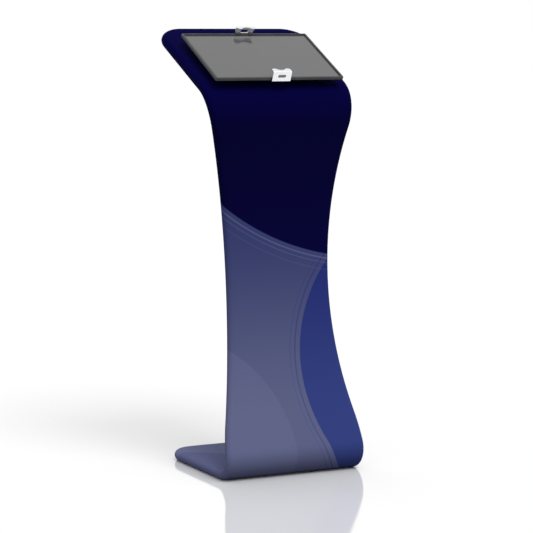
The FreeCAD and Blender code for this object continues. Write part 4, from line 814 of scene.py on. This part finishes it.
@dataclass
class FabricCover:
    """Stretched cloth pulled over the whole loop: front and back panels round a half-round rim."""

    form: LoopForm
    wall: float = 0.5 * MM
    columns: int = 44
    corner_step: float = math.radians(6)
    bend_step: float = 4.8 * MM
    neck_step: float = 6.5 * MM
    straight_step: float = 8.0 * MM
    rim_faces: int = 12
    pull_in: float = 0.35
    settle_rounds: int = 900
    zip_slot: float = 5 * MM
    eyelet: float = 13 * MM
    eyelet_sides: int = 32
    eyelet_spread: Pair = (80 * MM, 100 * MM)
    holder_station: float = 160.2 * MM
    stretch: float = 1.05

    def __post_init__(self) -> None:
        """Lays out the rows."""
        self.rows = self.plan()

    def end_rows(self, half_width: float, taper: float, radius: float) -> list[Row]:
        """Rows of a rounded end, from the end bar inwards, with stations from that bar."""
        lean = math.hypot(1, taper)
        centre = half_width - radius * (lean + taper)
        turn = math.pi / 2 + math.atan(taper)
        count = math.ceil(turn / self.corner_step)
        angles = [turn * index / count for index in range(count + 1)]
        return [Row(radius * (1 - math.cos(angle)), centre + radius * math.sin(angle),
                    math.sin(angle), -math.cos(angle)) for angle in angles]

    def plan(self) -> list[Row]:
        """All rows, from the foot's rear end to the head's."""
        form = self.form
        foot = self.end_rows(form.foot_half_width, form.foot_taper, form.foot_corner_radius)
        head = self.end_rows(form.head_half_width, form.head_taper, form.head_corner_radius)
        for row in head:
            row.station = form.length - row.station
            row.out_along = -row.out_along
        marks = [foot[-1].station, *form.spans[0], *form.spans[2], head[-1].station]
        steps = (self.straight_step, self.bend_step, self.straight_step, self.neck_step,
                 self.straight_step)
        middle = []
        for (start, end), step in zip(zip(marks, marks[1:]), steps):
            count = math.ceil((end - start) / step)
            middle += [start + (end - start) * index / count for index in range(count)]
        rows = foot
        for station in middle[1:]:
            width, gain = form.half_width(station)
            lean = math.hypot(1, gain)
            rows.append(Row(station, width, 1 / lean, -gain / lean))
        return rows + head[::-1]

    def grids(self) -> tuple[np.ndarray, np.ndarray]:
        """Centre-plane points and face normals for every row and column."""
        shares = np.linspace(-1, 1, self.columns + 1)
        points, faces = [], []
        for row in self.rows:
            point, heading = self.form.at(row.station)
            points.append([point + ACROSS * (share * row.half_width) for share in shares])
            faces.append([heading.cross(ACROSS)] * len(shares))
        return np.array(points), np.array(faces)

    def bridge(self, surface: np.ndarray, outward: np.ndarray) -> np.ndarray:
        """Lets the cloth span its hollows, as it would between two tubes.

        Args:
            surface: The grid laid close on the form.
            outward: The way off the form at each point.

        Returns:
            How far each point lifts off the form.
        """
        lift = np.zeros(surface.shape[:2])
        step = np.linalg.norm(np.diff(surface, axis=0), axis=2)
        span = np.linalg.norm(np.diff(surface, axis=1), axis=2)
        both = step[:-1, 1:-1] + step[1:, 1:-1]
        before, after, beside = (weight[..., None] for weight in (
            1 / (step[:-1, 1:-1] * both), 1 / (step[1:, 1:-1] * both),
            0.5 / span[1:-1, 1:] ** 2))
        total = before + after + 2 * beside
        for _ in range(self.settle_rounds):
            now = surface + outward * lift[..., None]
            mean = (before * now[:-2, 1:-1] + after * now[2:, 1:-1]
                    + beside * (now[1:-1, :-2] + now[1:-1, 2:])) / total
            change = ((mean - now[1:-1, 1:-1]) * outward[1:-1, 1:-1]).sum(axis=2)
            lift[1:-1, 1:-1] = np.maximum(0.0, lift[1:-1, 1:-1] + change)
        return lift * self.pull_in

    def across(self, i: int, j: int) -> float:
        """Signed distance from the middle of the point at row i and column j."""
        return (2 * j / self.columns - 1) * self.rows[i].half_width

    def outward(self, i: int, j: int) -> Pair:
        """The rim's outward way at a border point, across and along the tube."""
        side = (j == self.columns) - (j == 0)
        if side:
            return side * self.rows[i].out_across, self.rows[i].out_along
        return 0.0, -1.0 if i == 0 else 1.0

    def skin(self) -> Piece:
        """The cover's outer face as one closed mesh, with its panel map and seam distance."""
        points, faces = self.grids()
        mesh = bmesh.new()
        panel = mesh.loops.layers.uv.new("panel")
        seam = mesh.verts.layers.float.new("seam")
        grids, flat = [], {}
        for sense, shift in ((-1.0, 0.0), (1.0, BACK_SHIFT)):
            outward = faces * sense
            laid = points + outward * self.form.reach
            laid += outward * self.bridge(laid, outward)[..., None]
            grids.append([[mesh.verts.new(point) for point in row] for row in laid])
            for i, line in enumerate(grids[-1]):
                for j, vert in enumerate(line):
                    vert[seam] = self.form.reach * math.pi / 2
                    flat[vert] = (self.across(i, j) + shift, self.rows[i].station)
        last = len(self.rows) - 1
        for i in range(last):
            for j in range(self.columns):
                for grid, turn in zip(grids, (1, -1)):
                    quad = [grid[i][j], grid[i][j + 1], grid[i + 1][j + 1], grid[i + 1][j]]
                    for loop in mesh.faces.new(quad[::turn]).loops:
                        loop[panel].uv = flat[loop.vert]
        border = ([(0, j) for j in range(self.columns + 1)]
                  + [(i, self.columns) for i in range(1, last + 1)]
                  + [(last, j) for j in range(self.columns - 1, -1, -1)]
                  + [(i, 0) for i in range(last - 1, 0, -1)])
        rims = [(spot, self.rim_ring(mesh, seam, spot, grids)) for spot in border]
        for here, there in zip(rims, rims[1:] + rims[:1]):
            for k in range(self.rim_faces):
                quad = [here[1][k], here[1][k + 1], there[1][k + 1], there[1][k]]
                self.map_rim(mesh.faces.new(quad), panel, k, (here, there))
        bmesh.ops.recalc_face_normals(mesh, faces=mesh.faces)
        data = bpy.data.meshes.new("fabric")
        mesh.to_mesh(data)
        mesh.free()
        return link_object("fabric", data)

    def rim_ring(self, mesh: bmesh.types.BMesh, seam: Any, spot: tuple[int, int],
                 grids: list) -> list[bmesh.types.BMVert]:
        """Vertices of the half-round rim at one border point, from the front to the back."""
        i, j = spot
        point, heading = self.form.at(self.rows[i].station)
        across, along = self.outward(i, j)
        out = ACROSS * across + heading * along
        face = heading.cross(ACROSS)
        centre = point + ACROSS * self.across(i, j)
        front, back = (grid[i][j] for grid in grids)
        ring = [front]
        for k in range(1, self.rim_faces):
            angle = math.pi * (0.5 - k / self.rim_faces)
            away = out * math.cos(angle) - face * math.sin(angle)
            ring.append(mesh.verts.new(centre + away * self.form.reach))
            ring[-1][seam] = abs(angle) * self.form.reach
        return [*ring, back]

    def map_rim(self, face: bmesh.types.BMFace, panel: Any, k: int, ends: tuple) -> None:
        """Maps the rim's face k between two border points as a run-on of its panel."""
        on_back = k >= self.rim_faces / 2
        for loop in face.loops:
            (i, j), ring = next(end for end in ends if loop.vert in end[1])
            step = ring.index(loop.vert)
            turned = (self.rim_faces - step if on_back else step) / self.rim_faces
            arc = math.pi * turned * self.form.reach
            across, along = self.outward(i, j)
            loop[panel].uv = (self.across(i, j) + across * arc + (BACK_SHIFT if on_back else 0.0),
                              self.rows[i].station + along * arc)

    def cutters(self) -> list[Piece]:
        """Solids of the zip's slot and of the four eyelets under the holder."""
        form = self.form
        rear = form.points[0] + Vector((0, form.reach, 0))
        made = [add_piece(bpy.ops.mesh.primitive_cube_add, size=1, location=rear,
                          scale=(form.zip_length, 2 * form.reach, self.zip_slot))]
        along = Vector((0, math.cos(form.head_tilt), math.sin(form.head_tilt)))
        off = Vector((0, -along.z, along.y))
        middle = form.points[3] + along * self.holder_station + off * form.reach
        for x, y in ((-0.5, -0.5), (-0.5, 0.5), (0.5, -0.5), (0.5, 0.5)):
            shift = ACROSS * (x * self.eyelet_spread[0]) + along * (y * self.eyelet_spread[1])
            made.append(add_piece(bpy.ops.mesh.primitive_cylinder_add, radius=self.eyelet / 2,
                                  vertices=self.eyelet_sides, depth=form.reach,
                                  location=middle + shift, rotation=(form.head_tilt, 0, 0)))
        return made

    def build(self, sewn_on: list[Piece]) -> Piece:
        """The finished cover: skin, thickness, slot and eyelets.

        Args:
            sewn_on: The zip's pieces that go with the cloth. Not used.

        Returns:
            The cover.
        """
        piece = self.skin()
        thick = piece.modifiers.new("wall", "SOLIDIFY")
        thick.thickness = self.wall
        thick.offset = -1.0
        apply_modifiers(piece)
        cutters = self.cutters()
        for cutter in cutters:
            cut = piece.modifiers.new("cut", "BOOLEAN")
            cut.operation = "DIFFERENCE"
            cut.solver = "EXACT"
            cut.object = cutter
        apply_modifiers(piece)
        for cutter in cutters:
            bpy.data.objects.remove(cutter)
        select_only(piece)
        bpy.ops.object.shade_smooth_by_angle(angle=SMOOTH_ANGLE)
        settle(piece, "cover_cloth", "stand", Slot.COVER)
        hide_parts("fabric_cover")
        return piece


@dataclass
class ZipFastener:
    """The zip along the foot's rear edge: tape, cords, teeth, stops, slider and stitches."""

    form: LoopForm
    bed: float = 12.65 * MM
    tape: float = 0.5 * MM
    length: float = 256 * MM
    stitch: float = 2.6 * MM
    pitch: float = 4.0 * MM
    thread: float = 0.45 * MM
    thread_rise: float = 0.09 * MM
    thread_flatness: float = 0.7
    row_heights: tuple[float, ...] = (4.6 * MM, 11.4 * MM)
    cord_radius: float = 0.7 * MM
    cord_edge: float = 0.28 * MM
    cord_height: float = 1.8 * MM
    tooth_pitch: float = 10.0 * MM
    tooth_count: int = 26
    tooth_depth: float = 1.8 * MM
    tooth_height: float = 3.6 * MM
    tooth_shift: float = 0.7 * MM
    tooth_edge: float = 0.22 * MM
    tooth_widths: tuple[float, ...] = (7.6 * MM, 5.6 * MM, 4.2 * MM, 4.2 * MM, 4.9 * MM,
                                       5.4 * MM, 4.6 * MM)
    tooth_smooth: float = math.radians(50)
    stop_size: Triple = (1.9 * MM, 1.8 * MM, 3.6 * MM)
    stop_inset: float = 1.045 * MM

    def repeat(self, piece: Piece, step: float, count: int) -> None:
        """Repeats the piece along X."""
        copies = piece.modifiers.new("row", "ARRAY")
        copies.use_relative_offset = False
        copies.use_constant_offset = True
        copies.constant_offset_displace = (step, 0, 0)
        copies.count = count

    def stitch_row(self, turn: float, name: str) -> Piece:
        """One row of stitches along the tape, turned round the foot's rear bar."""
        count = int(self.length / self.pitch)
        start = -(count - 1) * self.pitch / 2
        piece = add_piece(bpy.ops.mesh.primitive_uv_sphere_add, segments=8, ring_count=6,
                          radius=self.thread / 2, location=(start, 0, 0),
                          scale=(self.stitch / self.thread, 1, self.thread_flatness))
        self.repeat(piece, self.pitch, count)
        apply_modifiers(piece)
        bpy.ops.object.shade_smooth()
        reach = self.form.reach + self.tape + self.thread_rise
        out = Vector((0, math.cos(turn), math.sin(turn)))
        piece.location = self.form.points[0] + out * reach
        piece.rotation_euler = (turn - math.pi / 2, 0, 0)
        settle(piece, name, "stand", Slot.ZIP_TAPE, THREAD)
        return piece

    def tooth_row(self, side: int, count: int) -> Piece:
        """The teeth of one tape: each drawn out from its root through a neck to a broad head.

        Args:
            side: 1 for the upper tape, -1 for the lower.
            count: How many teeth it has.

        Returns:
            The row, at its place along X and around the zip's line.
        """
        piece = add_piece(bpy.ops.mesh.primitive_plane_add, size=1,
                          location=(0, 0, self.tooth_height / 2))
        bpy.ops.object.mode_set(mode="EDIT")
        bpy.ops.mesh.select_all(action="SELECT")
        bpy.ops.transform.resize(value=(self.tooth_widths[0], self.tooth_depth, 1))
        step = self.tooth_height / (len(self.tooth_widths) - 1)
        for before, width in zip(self.tooth_widths, self.tooth_widths[1:]):
            bpy.ops.mesh.extrude_region_move(TRANSFORM_OT_translate={"value": (0, 0, -step)})
            bpy.ops.transform.resize(value=(width / before, 1, 1), center_override=(0, 0, 0))
        bpy.ops.mesh.select_all(action="SELECT")
        bpy.ops.mesh.normals_make_consistent(inside=False)
        bpy.ops.object.mode_set(mode="OBJECT")
        break_edges(piece, self.tooth_edge)
        self.repeat(piece, self.tooth_pitch, count)
        apply_modifiers(piece)
        piece.rotation_euler = (0, 0 if side > 0 else math.pi, 0)
        bpy.ops.object.transform_apply()
        middle = side * (count - 1) * self.tooth_pitch / 2
        piece.location = (-middle, 0, side * self.tooth_shift)
        return piece

    def chain(self) -> Piece:
        """Both rows of teeth, closed, with a stop at each end."""
        parts = [self.tooth_row(1, self.tooth_count - 1), self.tooth_row(-1, self.tooth_count)]
        for side in (-1, 1):
            end = side * (self.form.zip_length / 2 - self.stop_inset)
            parts.append(add_piece(bpy.ops.mesh.primitive_cube_add, size=1, scale=self.stop_size,
                                   location=(end, 0, self.tooth_shift)))
            break_edges(parts[-1], self.tooth_edge)
        bpy.ops.object.select_all(action="DESELECT")
        for part in parts:
            part.select_set(True)
        bpy.context.view_layer.objects.active = parts[0]
        bpy.ops.object.join()
        piece = bpy.context.object
        bpy.ops.object.transform_apply()
        bpy.ops.object.shade_smooth_by_angle(angle=self.tooth_smooth)
        piece.location = self.form.points[0] + Vector((0, self.bed + self.tooth_depth / 2, 0))
        settle(piece, "zip_chain", "stand", Slot.ZIP_NYLON)
        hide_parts("zip_teeth")
        return piece

    def cord(self, side: int, name: str) -> Piece:
        """The cord that one tape's teeth are moulded on."""
        place = self.form.points[0] + Vector((0, self.bed + self.cord_radius,
                                              side * self.cord_height))
        piece = add_piece(bpy.ops.mesh.primitive_cylinder_add, vertices=20,
                          radius=self.cord_radius, location=place, rotation=(0, math.pi / 2, 0),
                          depth=self.form.zip_length - self.cord_radius)
        break_edges(piece, self.cord_edge)
        bpy.ops.object.shade_smooth_by_angle(angle=SMOOTH_ANGLE)
        settle(piece, name, "stand", Slot.ZIP_TAPE)
        return piece

    def build(self) -> list[Piece]:
        """Dresses the zip's nodes, makes teeth and cords, and sews the tape down."""
        dress("zip_tapes", "zip_slider", "zip_pull")
        made = [self.chain(), self.cord(1, "zip_cord_upper"), self.cord(-1, "zip_cord_lower")]
        for index, height in enumerate(self.row_heights):
            for side, word in ((1, "upper"), (-1, "lower")):
                turn = side * math.asin(height / (self.form.reach + self.tape))
                made.append(self.stitch_row(turn, f"zip_stitches_{word}_{index + 1}"))
        return made


@dataclass
class Jaws:
    """The two bent jaws, with their edges broken, and what rides with them."""

    edge: float = 0.35 * MM
    merge: float = 0.01 * MM
    flat_angle: float = math.radians(0.4)
    sharp_angle: float = math.radians(35)

    def soften(self, node: str) -> Piece:
        """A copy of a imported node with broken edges, in the node's place."""
        piece = link_object(node + "_plate", frame["nodes"][node].data.copy())
        select_only(piece)
        bpy.ops.object.mode_set(mode="EDIT")
        bpy.ops.mesh.select_all(action="SELECT")
        bpy.ops.mesh.remove_doubles(threshold=self.merge)
        bpy.ops.mesh.dissolve_limited(angle_limit=self.flat_angle)
        bpy.ops.object.mode_set(mode="OBJECT")
        break_edges(piece, self.edge, self.sharp_angle)
        bpy.ops.object.shade_smooth_by_angle(angle=self.sharp_angle)
        level = piece.modifiers.new("level", "WEIGHTED_NORMAL")
        level.mode = "FACE_AREA"
        level.keep_sharp = True
        apply_modifiers(piece)
        settle(piece, node + "_plate", body_of(node), Slot.JAW)
        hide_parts(node)
        return piece

    def build(self) -> None:
        """Both jaws, racks, rivets and liners."""
        for side in ("upper", "lower"):
            self.soften(side + "_jaw")
            dress(side + "_rack", side + "_rack_rivets", side + "_jaw_pad")


class Frame:
    """The tube loop with its joints, and the plates screwed into foot and head."""

    def build(self) -> None:
        """Dresses tubes, spigots, buttons, lugs and plates."""
        dress("foot_tube", "head_tube", "upright_left", "upright_right", "spigots",
              "spigot_rivets", *(f"snap_button_{level}_{side}" for level in ("lower", "upper")
                                 for side in ("left", "right")))
        for place in ("base", "head"):
            dress(place + "_plate", place + "_lugs", place + "_screws")


class Holder:
    """The housing under the tablet with its rack drive."""

    def build(self) -> None:
        """Dresses the housing, the drive and the fixings."""
        dress("holder_base", "holder_lid", "holder_screws", "holder_nuts", "holder_bushes",
              "lid_screws", "pinion", "pinion_pin", "clock_spring", "rest_pads")


class Tablet:
    """The tablet: casing, glass, keys and what is inside."""

    def build(self) -> None:
        """Dresses every piece of the tablet."""
        dress("tablet_back", "power_key", "volume_key", "tablet_glass", "tablet_display",
              "tablet_battery", "tablet_board")


@dataclass
class Studio:
    """White floor and surround, plain soft light, and the camera."""

    floor_size: float = 60.0
    floor_gap: float = 0.2 * MM
    floor_lighting: Colour = (0.25, 0.25, 0.25)
    mirror_share: float = 0.38
    mirror_blur: float = 0.08
    ambient: float = 0.63
    sun_strength: float = 1.6
    sun_turn: float = math.radians(32)
    sun_from: Triple = (0.11, -0.58, 0.83)
    yaw: float = math.radians(-24.922)
    pitch: float = math.radians(6.703)
    camera_place: Triple = (-2.1243, -4.5558, 1.0998)
    focal_pixels: float = 2000.0
    image_pixels: float = 533.0
    sensor: float = 36.0
    clip_end: float = 200.0

    def camera(self) -> None:
        """Camera at the photograph's place."""
        data = bpy.data.cameras.new("camera")
        data.sensor_width = self.sensor
        data.lens = self.sensor * self.focal_pixels / self.image_pixels
        data.clip_end = self.clip_end
        eye = link_object("camera", data)
        eye.location = self.camera_place
        eye.rotation_euler = (math.pi / 2 - self.pitch, 0, self.yaw)
        bpy.context.scene.camera = eye

    def world(self) -> None:
        """White to the eye and to mirrors, plain soft light to everything else."""
        net = ShaderNet(bpy.data.worlds.new("surround"))
        light, white = (net.add("Background", {"Color": WHITE, "Strength": strength})
                        for strength in (self.ambient, 1.0))
        bpy.context.scene.world = net.surface(net.mix(net.seen(), light, white))

    def floor(self) -> None:
        """Pale floor that keeps a soft shadow and a faint mirror image."""
        floor = add_piece(bpy.ops.mesh.primitive_plane_add, size=self.floor_size,
                          location=(0, 0, -self.floor_gap))
        floor.name = "floor"
        net = ShaderNet(bpy.data.materials.new("floor_paint"))
        tone = net.blend(net.seen(), self.floor_lighting, WHITE)
        pale = net.add("BsdfDiffuse", {"Color": tone})
        mirror = net.add("BsdfGlossy", {"Color": WHITE, "Roughness": self.mirror_blur})
        eye = net.add("LightPath", output="Is Camera Ray")
        floor.data.materials.append(net.surface(net.mix(eye * self.mirror_share, pale, mirror)))

    def lamp(self) -> None:
        """One broad overhead light."""
        data = bpy.data.lights.new("overhead", "SUN")
        data.energy = self.sun_strength
        data.angle = self.sun_turn
        lamp = link_object("overhead", data)
        lamp.rotation_euler = Vector(self.sun_from).to_track_quat("Z", "Y").to_euler()

    def build(self) -> None:
        """Camera, surround, floor and light."""
        self.camera()
        self.world()
        self.floor()
        self.lamp()
        bpy.context.scene.view_settings.view_transform = "Standard"


def main() -> None:
    """Builds the studio and every sub-assembly."""
    logging.basicConfig(level=logging.INFO, format="%(name)s %(message)s")
    form = LoopForm()
    Studio().build()
    FabricCover(form).build(ZipFastener(form).build())
    Frame().build()
    Holder().build()
    Jaws().build()
    Tablet().build()


if __name__ == "__main__":
    main()
